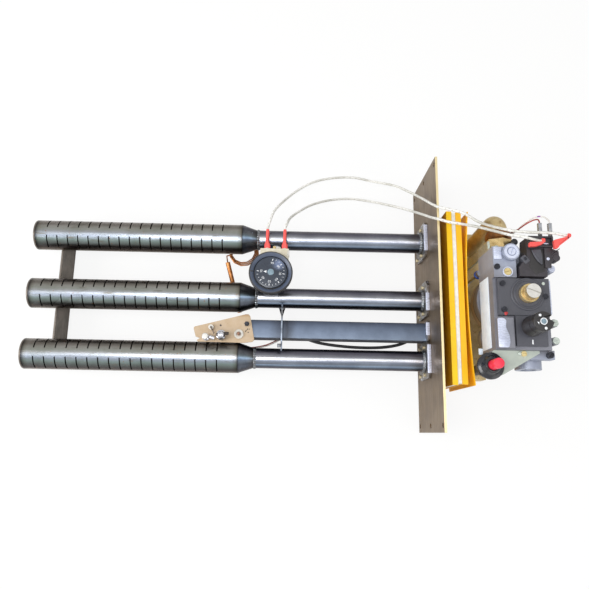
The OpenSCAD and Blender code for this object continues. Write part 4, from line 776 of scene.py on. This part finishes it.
LEAD_LONG = [
    (-226, 95, 7), (-225.7, 100, 6.6), (-222.5, 112, 3), (-217, 132, -12), (-203, 158, -38),
    (-184, 182, -57), (-160, 200, -66), (-130, 209, -68.4), (-96, 211, -68.4), (-64, 204, -66),
    (-36, 186, -38), (-18, 161, -4), (-9, 136, 34), (-4.5, 117, 64), (2, 108, 76), (14, 103, 82),
    (30, 95, 90), (46, 81, 98), (64, 71, 107), (84, 63.5, 116), (99, 59.8, 123), (112, 58.4, 126.8),
    (126, 57.8, 127.4), (134.5, 57, 127), (139.5, 55.7, 127), (142, 55.4, 127), (144.8, 55.4, 127),
]
LEAD_SHORT = [
    (-201.5, 95, 7), (-201.2, 99, 6), (-198.5, 107, 1), (-194, 122, -16), (-180, 141, -38),
    (-161, 159, -57), (-134, 171, -67), (-104, 175, -68.8), (-74, 170, -63), (-44, 152, -34),
    (-25, 130, 6), (-12, 110, 42), (-6, 98, 64), (1, 91, 77), (12, 87, 79), (24, 84, 82),
    (46, 78, 88), (64, 70, 97), (80, 59.5, 112), (91, 53.5, 123.5), (100, 49.9, 127.4),
    (106, 48.3, 127.3), (109.5, 47.8, 127), (112.3, 47.8, 127),
]
IGNITION = [
    (50, -103.5, 34), (50, -103.5, 18), (49.6, -103, 0), (49, -102, -18), (49, -97, -33),
    (49, -82, -38), (48.5, -64, -38), (46.5, -51, -38), (41, -46, -38), (30, -46, -38),
    (16, -46, -38), (3, -46, -38), (-12, -50, -37), (-34, -60, -36), (-64, -65, -35),
    (-105, -65, -35), (-148, -60, -36), (-182, -50, -38), (-230, -45, -38), (-270, -44, -35),
    (-290, -45.3, -32.5), (-297.4, -46.3, -29.6), (-300.1, -46.8, -25.5), (-300.2, -46.8, -20.5),
]
BOOT_LONG = [
    (127, 38), (131, 38), (133.3, 41.3), (146, 51.2), (146, 53.7), (139, 52), (129, 49.2), (127, 48.5),
]
BOOT_TIP = [(143.5, 49.2), (148.7, 53.5), (148.4, 57), (144.8, 57.6), (143.5, 53)]
BOOT_SHORT = [
    (96.3, 41.2), (97, 39.6), (104.8, 40), (112, 42.6), (116.4, 46), (116.2, 50), (112.3, 50.4),
    (112.3, 45.8), (97, 45.2),
]
WIRE = [
    (-306, -57, -24), (-298, -54, -33), (-280, -60, -40), (-255, -68, -43), (-225, -64, -44),
    (-190, -48, -43), (-140, -40, -40), (-80, -36, -38), (-20, -36, -38), (3, -36, -38),
    (30, -36, -38), (46, -36, -39), (70, -30, -41), (86, 0, -41), (92, 40, -36), (96, 64, -18),
    (99, 74, 14), (98, 77, 56), (96, 72, 92),
]


def lead(name, points, radius, key, node, steps, count=12, **facts):
    """Lead swept along its route, with its length and turn as a UV map in metres and turns."""
    path = route(points, steps)
    item = piece(name, [swept(path, radius, count)], key, node, sharp=60)
    mesh = item.data
    uv = mesh.uv_layers.new(name="route")
    at = np.r_[0, np.cumsum(np.linalg.norm(np.diff(path, axis=0), axis=1))] * MM
    loops = np.zeros(len(mesh.loops), np.int32)
    mesh.loops.foreach_get("vertex_index", loops)
    ring, turn = np.divmod(loops, count)
    sizes = np.zeros(len(mesh.polygons), np.int32)
    mesh.polygons.foreach_get("loop_total", sizes)
    last = np.maximum.reduceat(turn, np.cumsum(np.r_[0, sizes[:-1]])).repeat(sizes)
    wraps = (turn == 0) & (last == count - 1)
    uv.data.foreach_set("uv", np.stack([at[ring], (turn + count * wraps) / count], -1).ravel())
    return item


class BuildLeads(BurnerStep):
    """White leads, igniter lead and thermopile wires, along the CAD's routes."""
    bl_idname = "gas_burner.leads"
    bl_label = "Leads"

    def build(self, settings):
        radius = settings.leads.diameter / MM / 2
        steps = settings.leads.steps
        facts = {"far_end": "object", "stiffness": "medium", "lay": "loose"}
        lead("thermostat_lead_long", LEAD_LONG, radius, "braid", "switch_lead_long", steps, **facts)
        lead("thermostat_lead_short", LEAD_SHORT, radius, "braid", "switch_lead_short", steps, **facts)
        lead("igniter_lead", IGNITION, 2.2, "rubber", "ignition_lead", steps)
        # The two thermopile wires lie side by side along one route and part at its ends.
        gap = np.array((1.4, -1.4, 2.0)) / 2
        red = [(-307.3, -60.3, -14), (-307.4, -57.4, -19), *(np.array(WIRE) - gap).tolist(), (93, 69, 106),
               (97.4, 71.4, 118), (104.7, 74.8, 124), (110.5, 75.8, 124.8), (113.4, 74.4, 122.3),
               (113.5, 72, 122)]
        white = [(-305.3, -62.3, -14), (-305.6, -59, -18), *(np.array(WIRE) + gap).tolist(), (95, 71, 107.5),
                 (99, 74.5, 118), (105, 78, 122.5), (111, 79.5, 125.5), (117, 78.7, 127),
                 (122.5, 76.8, 125), (125.9, 74.4, 122.3), (126, 72, 122)]
        lead("thermopile_wire_red", red, 0.9, "brown_wire", "thermopile_lead", 6, 10)
        lead("thermopile_wire_white", white, 0.9, "white_wire", "thermopile_lead", 6, 10)


class BuildTubes(BurnerStep):
    """Slotted heads, cones, mixer tubes, caps and welds."""
    bl_idname = "gas_burner.tubes"
    bl_label = "Burner tubes"

    def build(self, settings):
        dress_all(("burner_head_far", "head", 0.2), ("burner_head_middle", "head", 0.2),
            ("burner_head_near", "head", 0.2), ("end_caps", "end", 0.8), ("reducer_cones", "cone", 0.3),
            ("mixer_tubes", "mixer", 0.3))
        # Where a bead starts along its tube, which way it runs and how high it stands: at cone and plate.
        beads = []
        rng = np.random.default_rng(4)
        for y in TUBE_YS:
            for x, way, top in ((-241.5, 1, 0.75), (-3.0, -1, 1.8)):
                phase = rng.uniform(0, 2 * pi, 3)
                wave = lambda a, h, p=phase: 1 + 0.016 * np.sin(31 * a + p[0]) + 0.012 * np.sin(13 * a + p[1])
                bead = [(0.05, 0.05), (top, 0.4), (0.1 + top, 1.2), (0.8 * top, 2.2), (0.5 * top, 3.1),
                        (0.1, 3.9), (-0.3, 3.95)]
                profile = [(TUBE_R + r, h) for r, h in bead]
                beads.append(lathe(profile, (x, y, TUBE_Z), (way, 0, 0), 160, wave, (0, 1, 0)))
        piece("weld_bead_rings", beads, "weld", "weld_beads")


class BuildPlate(BurnerStep):
    """Front plate, flanges, foot, brace and carrier."""
    bl_idname = "gas_burner.plate"
    bl_label = "Plate and supports"

    def build(self, settings):
        dress_all(("front_plate", "plate", 0.3), ("tube_flanges", "flange", 0.3), ("rear_foot", "end", 0.3),
            ("tube_brace", "strap", 0.3), ("pilot_carrier", "scale", 0.9))

        def metal(c):
            """Finish of each screw, told by where it is: at the brace, on the valve, on its lug."""
            x, y, z = c.T
            kind = np.zeros(len(c), int)
            kind[x < -200] = 1
            kind[(x > 50) & (z > 90)] = 1
            kind[(x > 120) & (y > -85)] = 2
            kind[(x < 100) & (y < -80) & (x > 60)] = 3
            kind[(x > 120) & (y > 0)] = 4
            kind[(np.abs(x - 77) < 6) & (y > 28) & (y < 42)] = 4
            return kind
        dressed("screws", ["cream_screw", "black_screw", "zinc", "cream_brass", "polished"], 0.2,
            choose=metal)
        # Weld that flares from the strap to the tube above it, and one at the strap's foot.
        flare = [(-208, -17.5), (-204.8, -21), (-204, -27), (-203.4, -33), (-202.4, -33), (-202, -27),
                 (-201.2, -21), (-198, -17.5)]
        foot = [(-208.6, -68), (-208.6, -73), (-203.4, -73), (-203.4, -68)]
        detail("brace_welds", [slab(rounded(flare, 0.6), 3.6, 5.6, 0.5),
            slab(rounded(foot, 0.6), 3.4, 6.4, 0.6)], "weld", "tube_brace")
        # Pale strips on the flanges' upper edges, a painted highlight where the edges catch the light, by
        # their ends and height.
        edge_highlights = [box_of((-5.2, -0.05), (y0, y1), (top - 0.4, top + 1.4), 0.5, 0.4)
                for y0, y1, top in ((67, 105, 15), (-19, 6, 15), (-53, -35, 11), (-105, -66, 15))]
        detail("flange_edge_highlights", edge_highlights, "polished", "tube_flanges")


class BuildPilot(BurnerStep):
    """Pilot bracket, burner, thermopile, electrode and gas tube."""
    bl_idname = "gas_burner.pilot"
    bl_label = "Pilot"

    def build(self, settings):
        dress_all(("pilot_bracket", "bracket", 0.3), ("pilot_burner", "nickel", 0.4),
            ("thermopile", "nickel", 0.8), ("electrode_insulator", "ceramic", 0.4))
        # The rod in the ceramic ring is bronze.
        dressed("spark_electrode", ["electrode", "bronze"], 0.1,
            choose=lambda c: (c[:, 0] > -270).astype(int))
        dressed("pilot_gas_tube", "aluminium", 0)
        x, y = PILOT
        dome = [lathe([(6.7, 9.5), (6.9, 10.2), (6.9, 12.6), (6.4, 13.9), (5.0, 14.6)], (x, y, 0)),
                lathe([(5.0, 14.55), (4.9, 16.2), (4.2, 17.6), (2.8, 18.5), (0.00001, 18.8)], (x, y, 0))]
        detail("pilot_hood", dome, "chrome", "pilot_burner")
        # Dark patches on the hood where its slots open: soot and painted shade of the openings; then a sooty
        # tube beside the hood.
        slots = [box_of((x + a, x + b), (y + c, y + d), (14.4, 15.3), 0.3, 0.2)
                 for a, b, c, d in ((-6.2, -3.8, -2.6, 2.0), (4.0, 6.2, -3.5, 0.5), (-2, 3, -6.3, -4.9))]
        detail("pilot_slots", slots + [swept([(x + 3.5, y + 1.6, 14.2), (x + 10.4, y + 1.9, 13.6)], 2.0,
            20)], "soot", "pilot_burner")
        detail("pilot_neck", [swept([(-300.6, -61.5, 12.6), (-294.2, -63.6, 11.6)], 2.6, 24)], "chrome",
            "pilot_burner")
        detail("thermopile_bands", [hoop([(4.1, z), (4.55, z + 0.3), (4.55, z + 1.5), (4.1, z + 1.8)],
            (*THERMOPILE, 0)) for z in (4.5, 8.5, 12.5)], "chrome", "thermopile")
        detail("thermopile_cap", [disc(*THERMOPILE, 4.15, 16.2, 17.2, 0.8)], "cap", "thermopile")
        detail("ring_insert", [disc(-262, -55.2, 3.3, 1.9, 2.35, 0.2)], "electrode", "electrode_insulator")
        detail("bracket_dots", [disc(*at, r, -0.7, -0.2, 0.15, 16) for at,
            r in (((-252.7, -50.8), 0.9), ((-250.1, -47.9), 0.9), ((-247.7, -47.9), 0.6),
            ((-249.1, -52.4), 0.8),
            ((-251.4, -49.4), 0.6))] + [disc(-287.4, -43.3, 1.15, -1.8, -0.9, 0.2, 24)], "soot",
            "pilot_bracket")


class BuildShield(BurnerStep):
    """Folded yellow leaves and the white board between them."""
    bl_idname = "gas_burner.shield"
    bl_label = "Heat shield"

    def build(self, settings):
        dress_all(("shield_front_leaf", "yellow", 0.3), ("shield_board", "board", 0.5),
            ("shield_outer_leaf", "amber", 0.3))


class BuildSupply(BurnerStep):
    """Manifold, injectors, pipe, union nut and strap."""
    bl_idname = "gas_burner.supply"
    bl_label = "Gas supply"

    def build(self, settings):
        dress_all(("manifold", "chromate", 1.2), ("injectors", "brass", 0.3),
            ("manifold_studs", "zinc", 0.3), ("gas_pipe", "chromate", 0.2), ("union_nut", "nut", 1.0),
            ("valve_strap", "zinc", 0.4))


class BuildValve(BurnerStep):
    """Valve casting, covers, terminals, regulator and pilot screw."""
    bl_idname = "gas_burner.valve"
    bl_label = "Gas valve"

    def build(self, settings):
        dress_all(("valve_body", "casting", 0.7), ("diaphragm_cover", "lacquer", 1.0),
            ("diaphragm", "diaphragm", 0), ("top_cover", "slate", 0.8), ("operator_block", "dusty", 0.6),
            ("spade_terminals", "nickel", 0.3), ("regulator_sleeve", "golden", 0.3))
        detail("sleeve_rim", [hoop([(8.6, 122.6), (11.2, 123.4), (11.35, 124), (11.1, 124.35),
            (8.8, 123.6)], (*REGULATOR, 0))], "cream_brass", "regulator_sleeve")
        # Its face is frosted and its side golden.
        dressed("regulator_screw", ["cap", "golden"], 0.3,
            choose=lambda c: (np.hypot(*(c[:, :2] - REGULATOR).T) > 8.3).astype(int))
        dress_all(("pilot_screw", "cream_brass", 0.3), ("gas_spindle", "spring", 0.2),
            ("knob_collar", "spring", 0.2), ("knob_spring", "spring", 0), ("regulator_spring", "spring", 0),
            ("main_valve_spring", "spring", 0), ("piezo_spring", "spring", 0),
            ("regulator_seat", "spring", 0), ("main_valve", "diaphragm", 0.2),
            ("safety_valve", "diaphragm", 0.2), ("magnet_unit", "brass", 0.2))
        # The thermostat's boots, by half their width at places along them, then the valve's.
        boots = []
        for x in BOOT_XS:
            half = [(4.1, 64.6), (4.1, 71.5), (2.5, 76), (2.2, 94.9)]
            outline = [(x + w, y) for w, y in half] + [(x - w, y) for w, y in half[::-1]]
            boots.append(slab(rounded(outline, 1.2), 3.6, 10.4, 1.0))
        boots += [slab(rounded(part, 0.8), *BOOT_Z, 0.8) for part in (BOOT_LONG, BOOT_TIP)]
        boots.append(slab(rounded(BOOT_SHORT, 0.8), *BOOT_Z, 0.7))
        piece("boots", boots, "boot", "terminal_boots", sharp=22)

        # Small turned and machined parts, and plain marks, on the cover, casting and terminal block.
        cover = [hoop([(15.1, 115), (20.2, 115), (20.4, 115.8), (19.8, 116.4), (18.6, 116.5), (17.8, 115.9),
                       (16.6, 115.9), (15.8, 116.9), (15.1, 116.9)], (*REGULATOR, 0))]
        detail("cover_ring", cover, "slate", "top_cover")
        detail("side_edge", [box_of((123.05, 125.6), (-41, 1.5), (96, 112.5), 0.8)], "polished",
            "valve_body")
        # A thin pale slab on the casting's shoulder, left of the knob.
        face = [(57.4, -46.7), (64.5, -46.4), (68.3, -49.4), (67.2, -58), (71, -67.5), (71.6, -76),
                (70, -82.5), (57.4, -82.5)]
        detail("pale_shoulder_slab", [slab(rounded(face, 2.2), 113.9, 114.6, 0.3)], "polished", "valve_body")
        detail("cover_screw_small", [disc(115.6, -3.3, 2.1, 115, 116.2, 0.4)], "zinc", "top_cover")
        seal = lambda a, h: 1 + 0.12 * np.sin(3 * a + 1) + 0.06 * np.sin(7 * a)
        detail("seal_dot", [lathe([(2.3, 114.9), (2.2, 115.25), (1.5, 115.5), (0.00001, 115.6)],
            (68, -41, 0), wave=seal)], "seal", "top_cover")
        detail("cover_tick", [box_of((98.2, 99.9), (-78, -72.4), (112.9, 113.25), 0.3, 0.1)], "ink",
            "top_cover")
        detail("plug_ring", [hoop([(5.3, 120.9), (8.9, 120.9), (9.2, 121.4), (8.8, 122.3), (5.9, 122.4),
            (5.3, 121.6)], (77, 35, 0))], "polished", "valve_body")
        detail("pilot_screw_ring", [hoop([(4.7, 114.9), (6.3, 114.9), (6.5, 115.6), (6.1, 116.6),
            (5.1, 116.7), (4.7, 116)], (73, 11, 0))], "polished", "valve_body")
        detail("end_block_step", [box_of((56.6, 66.4), (26.5, 42.2), (114.9, 116.6), 1.2, 0.5)], "polished",
            "valve_body")
        # A thin black slab laid in the block's hollow, painted shade.
        hollow = [(100.6, 39.6), (117, 39.6), (117, 11), (105, 6.6), (97.5, 16.5), (100.6, 26)]
        detail("block_hollow_painted_shade", [slab(rounded(hollow, 0.8), 119.7, 120.25, 0.1)], "black", "operator_block")
        fin = [(101.6, 37.8), (112.9, 38.6), (114.5, 30), (114, 18.6), (112.5, 19.5), (108.4, 23.5),
               (104.5, 29.5)]
        lug = [(87.6, 27.6), (93.6, 32), (99.7, 24.2), (94, 19.6)]
        detail("block_fin", [slab(rounded(fin, 0.5), 120.1, 121.9, 0.4),
            slab(rounded(lug, 0.8), 113, 120.9, 0.6)], "slate", "operator_block", sharp=22)
        tooth = [(125.2, 34.6), (137.3, 40.4), (131.4, 34.6), (126, 31.6)]
        detail("block_post", [box_of((117.2, 124.9), (15.2, 40.9), (119.7, 122.4), 0.8, 0.6),
            disc(132.4, 28.6, 4.6, 108, 120.7, 0.9), slab(rounded(tooth, 0.5), 116, 120.8, 0.5)], "dusty",
            "operator_block", sharp=22)
        detail("block_screws", [disc(120.9, 26.3, 1.9, 122.2, 123.1, 0.4),
            box_of((116.5, 122.8), (45, 46.6), (119.8, 122.8), 0.4),
            box_of((117.4, 118.8), (48.2, 51.6), (119.8, 122.2), 0.4)], "polished", "operator_block")
        detail("block_lug_screw", [disc(93.4, 26.1, 2.1, 120.8, 121.5, 0.3)], "black_screw",
            "operator_block")
        detail("bracket_rivet", [disc(87.3, -87.6, 2.3, 100, 101.6, 0.5)], "zinc", "piezo_bracket")
        detail("blank_label", [box_of((55.45, 56.0), (-80.5, 9.5), (60, 93.5), 0.2, 0.15)], "paper",
            "valve_body")
        detail("test_plug", [disc(93.5, 57.5, 4.4, 60, 92, 1.6)], "gloss_black", "valve_body")
        detail("pipe_collar", [hoop([(12.1, 0), (15.2, 0), (17.0, 2.2), (16.8, 7), (15.0, 11.6),
            (12.1, 13.4)], (80, 64.5, 70), (0, 1, 0))], "brown", "union_nut")
        detail("tube_nut_ring", [hoop([(4.45, 46), (5.6, 46.2), (5.8, 47.5), (5.6, 49.2), (4.45, 49.4)],
            (58.5, 24, 0))], "blue", "pilot_gas_tube")


class BuildKnob(BurnerStep):
    """Gas knob: notched grip on a tapered skirt, with plain dots, triangle and ring."""
    bl_idname = "gas_burner.knob"
    bl_label = "Gas knob"

    def build(self, settings):
        x, y = KNOB
        skirt = hoop([(10.1, 120.05), (12.1, 120.05), (12.45, 120.6), (12.4, 122.6), (11.9, 123.6),
                      (11.75, 141.2), (3.15, 141.2), (3.15, 128.1), (10.1, 128.1)], (x, y, 0))
        arc = circle(x, y, 11.7, 37, 317)
        notch = np.array([(9.2, -7.2), (11.2, -3.6), (12.4, -0.7), (5.7, 3.4), (9.2, 7.2)]) + (x, y)
        grip = slab(np.vstack([arc, notch]), 141, 154.9, 0.7)
        piece("knob_body", [skirt, grip], "black", "gas_knob")
        dot = settings.knob.dot / MM
        marks = [disc(x - 3.9, y + 7.1, dot, *KNOB_TOP, 0.1), disc(x + 1.9, y - 8, dot, *KNOB_TOP, 0.1),
                 slab([(x - 7.6, y - 0.6), (x - 5.2, y - 1.2), (x - 6, y - 3.6)], *KNOB_TOP, 0.1),
                 hoop([(3.1, 154.7), (4.1, 154.7), (4.1, 155), (3.1, 155)], (x, y, 0))]
        detail("knob_marks", marks, "ink", "gas_knob")
        detail("knob_centre", [disc(x, y, 3.0, 154.7, 154.97, 0.1)], "hub", "gas_knob")


class BuildIgniter(BurnerStep):
    """Igniter: glossy collar with a flared boss, rubber boot, red button and its bracket."""
    bl_idname = "gas_burner.igniter"
    bl_label = "Igniter"

    def build(self, settings):
        dressed("piezo_bracket", "pale_paint", 0.3)
        x, y = IGNITER
        collar = hoop([(6.4, 92), (9.9, 92), (9.9, 100.05), (15.9, 100.05), (16.4, 100.6), (16.5, 103.2),
                       (16.1, 104.2), (14.8, 104.9), (12.6, 105.6), (11.4, 107.2), (10.4, 110.4),
                       (9.5, 112.9), (8.6, 113.8), (7.3, 113.9), (6.4, 113.4)], (x, y, 0))
        boot = lathe([(4.6, 34.1), (5.9, 35), (6.2, 38), (6.3, 65), (7.2, 68), (9.2, 71.5), (9.9, 75),
                      (9.9, 90.9)], (x, y, 0))
        piece("igniter_body", [collar], "gloss_black", "piezo_body")
        detail("igniter_boot", [boot], "rubber", "piezo_body")
        piece("igniter_button", [disc(x, y, 6.2, 100.1, 133.9, 0.9)], "red", "piezo_button")
        detail("igniter_tag", [box_of((42.2, 47.4), (-88, -80.4), (84.6, 85.2), 0.6, 0.2)], "paper",
            "piezo_body")


class BuildThermostat(BurnerStep):
    """Thermostat with its case, bezel, dial, figures and bulb."""
    bl_idname = "gas_burner.thermostat"
    bl_label = "Thermostat"

    def build(self, settings):
        # The terminal block behind the case is cream.
        dressed("thermostat_case", ["dial", "cream"], 0.6, choose=lambda c: (c[:, 1] > 46.5).astype(int))
        x, y = DIAL
        bezel = hoop([(5, 28.02), (29.2, 28.02), (29.9, 28.6), (29.95, 32.6), (29.5, 33.6), (28.8, 33.98),
                      (28.1, 33.9), (23.3, 31.2), (22.9, 29.6), (5, 29.6)], (x, y, 0))
        piece("bezel_body", [bezel], "black", "thermostat_bezel")
        slope = hoop([(23.4, 31.1), (28.0, 33.7), (28.0, 33.98), (23.4, 31.4)], (x, y, 0))
        detail("bezel_slope", [slope], "rim", "thermostat_bezel")
        index = box_of((x - 29, x - 24.2), (y + 0.9, y + 2.1), (32, 34), 0.3, 0.2)
        detail("bezel_index", [index], "black", "thermostat_bezel")

        dome = [(r, crown(r, 35.6)) for r in np.linspace(20.9, 0.00001, 14)]
        dial = lathe([(2.95, 12.05), (2.95, 30.05), (21.4, 30.05), (21.9, 30.6), (21.9, 33.6),
                      (21.5, 34.3), *dome], (x, y, 0), count=128)
        piece("dial_body", [dial], "dial", "thermostat_dial")
        detail("dial_hub", [disc(x, y, 4.4, 35.3, 35.95, 0.25)], "hub", "thermostat_dial")
        first, step = settings.dial.first, settings.dial.step
        height = settings.dial.height / MM
        # Nineteen marks round the dial, every third one longer and with its number inside it.
        marks = []
        for k in range(19):
            angle = radians(FIRST_MARK + 14.8 * k)
            way = np.array((np.cos(angle), np.sin(angle)))
            reach = (16.2, 18.9) if k % 3 == 0 else (17.2, 18.9)
            level = [crown(r, DIAL_Z) for r in reach]
            ends = [(*(np.array((x, y)) + r * way), z) for r, z in zip(reach, level)]
            marks.append(swept(ends, 0.55 if k % 3 == 0 else 0.3, 8))
            if k % 3 == 0:
                middle = np.array((x, y)) + 12.9 * way
                across = np.array((way[1], -way[0]))
                for digit, shift in zip(str(first + step * k // 3), (-0.42, 0.42)):
                    place = (*(middle + shift * height * across), crown(12.9, DIAL_Z))
                    marks += figure(digit, place, height, angle - pi / 2, 0.24)
        left = radians(FIRST_MARK)
        arrow = [(9.7, 0), (5.8, 1.8), (5.8, -1.8)]
        cos, sin = np.cos(left), np.sin(left)
        turned = [(x + a * cos - b * sin, y + a * sin + b * cos) for a, b in arrow]
        marks.append(slab(turned, 35.2, 35.75, 0.1))
        detail("dial_marks", marks, "ink", "thermostat_dial")

        clips = [disc(at, 62.6, 3.4, 6, 14.6, 0.6) for at in BOOT_XS]
        clips.append(box_of((-213.4, -207.2), (61.5, 68.5), (6, 12), 0.8, 0.5))
        clips.append(box_of((-197.5, -194.8), (52, 60), (14, 22), 0.6, 0.4))
        detail("terminal_clips", clips, "ceramic", "thermostat_case")
        detail("terminal_link", [box_of((-217.8, -213.8), (61.5, 69.5), (8.5, 10.5), 0.5, 0.3)], "nut",
            "thermostat_case")
        detail("terminal_pin", [disc(-209.8, 65.2, 0.8, 11.7, 12.15, 0.1)], "black", "thermostat_case")
        dressed("capillary_bulb", "copper", 0)


STEPS = (BuildStage, BuildLeads, BuildTubes, BuildPlate, BuildPilot, BuildShield, BuildSupply, BuildValve,
         BuildKnob, BuildIgniter, BuildThermostat)


class BurnerPanel(bpy.types.Panel):
    """Steps and settings of the gas burner."""
    bl_idname = "VIEW3D_PT_gas_burner"
    bl_label = "Gas burner"
    bl_space_type = "VIEW_3D"
    bl_region_type = "UI"
    bl_category = "Gas burner"

    def draw(self, context):
        settings = context.scene.gas_burner
        for step in STEPS:
            self.layout.operator(step.bl_idname)
        for group in (settings.leads, settings.knob, settings.dial, settings.stage):
            box = self.layout.box()
            for key in group.__annotations__:
                box.prop(group, key)


CLASSES = (LeadSettings, KnobSettings, DialSettings, StageSettings, BurnerSettings, *STEPS, BurnerPanel)


def register():
    for item in CLASSES:
        bpy.utils.register_class(item)
    bpy.types.Scene.gas_burner = bpy.props.PointerProperty(type=BurnerSettings)


def unregister():
    del bpy.types.Scene.gas_burner
    for item in reversed(CLASSES):
        bpy.utils.unregister_class(item)


def main():
    """Register the add-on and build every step."""
    register()
    for step in STEPS:
        getattr(bpy.ops.gas_burner, step.bl_idname.split(".")[1])()
    bpy.context.view_layer.update()


if __name__ == "__main__":
    main()
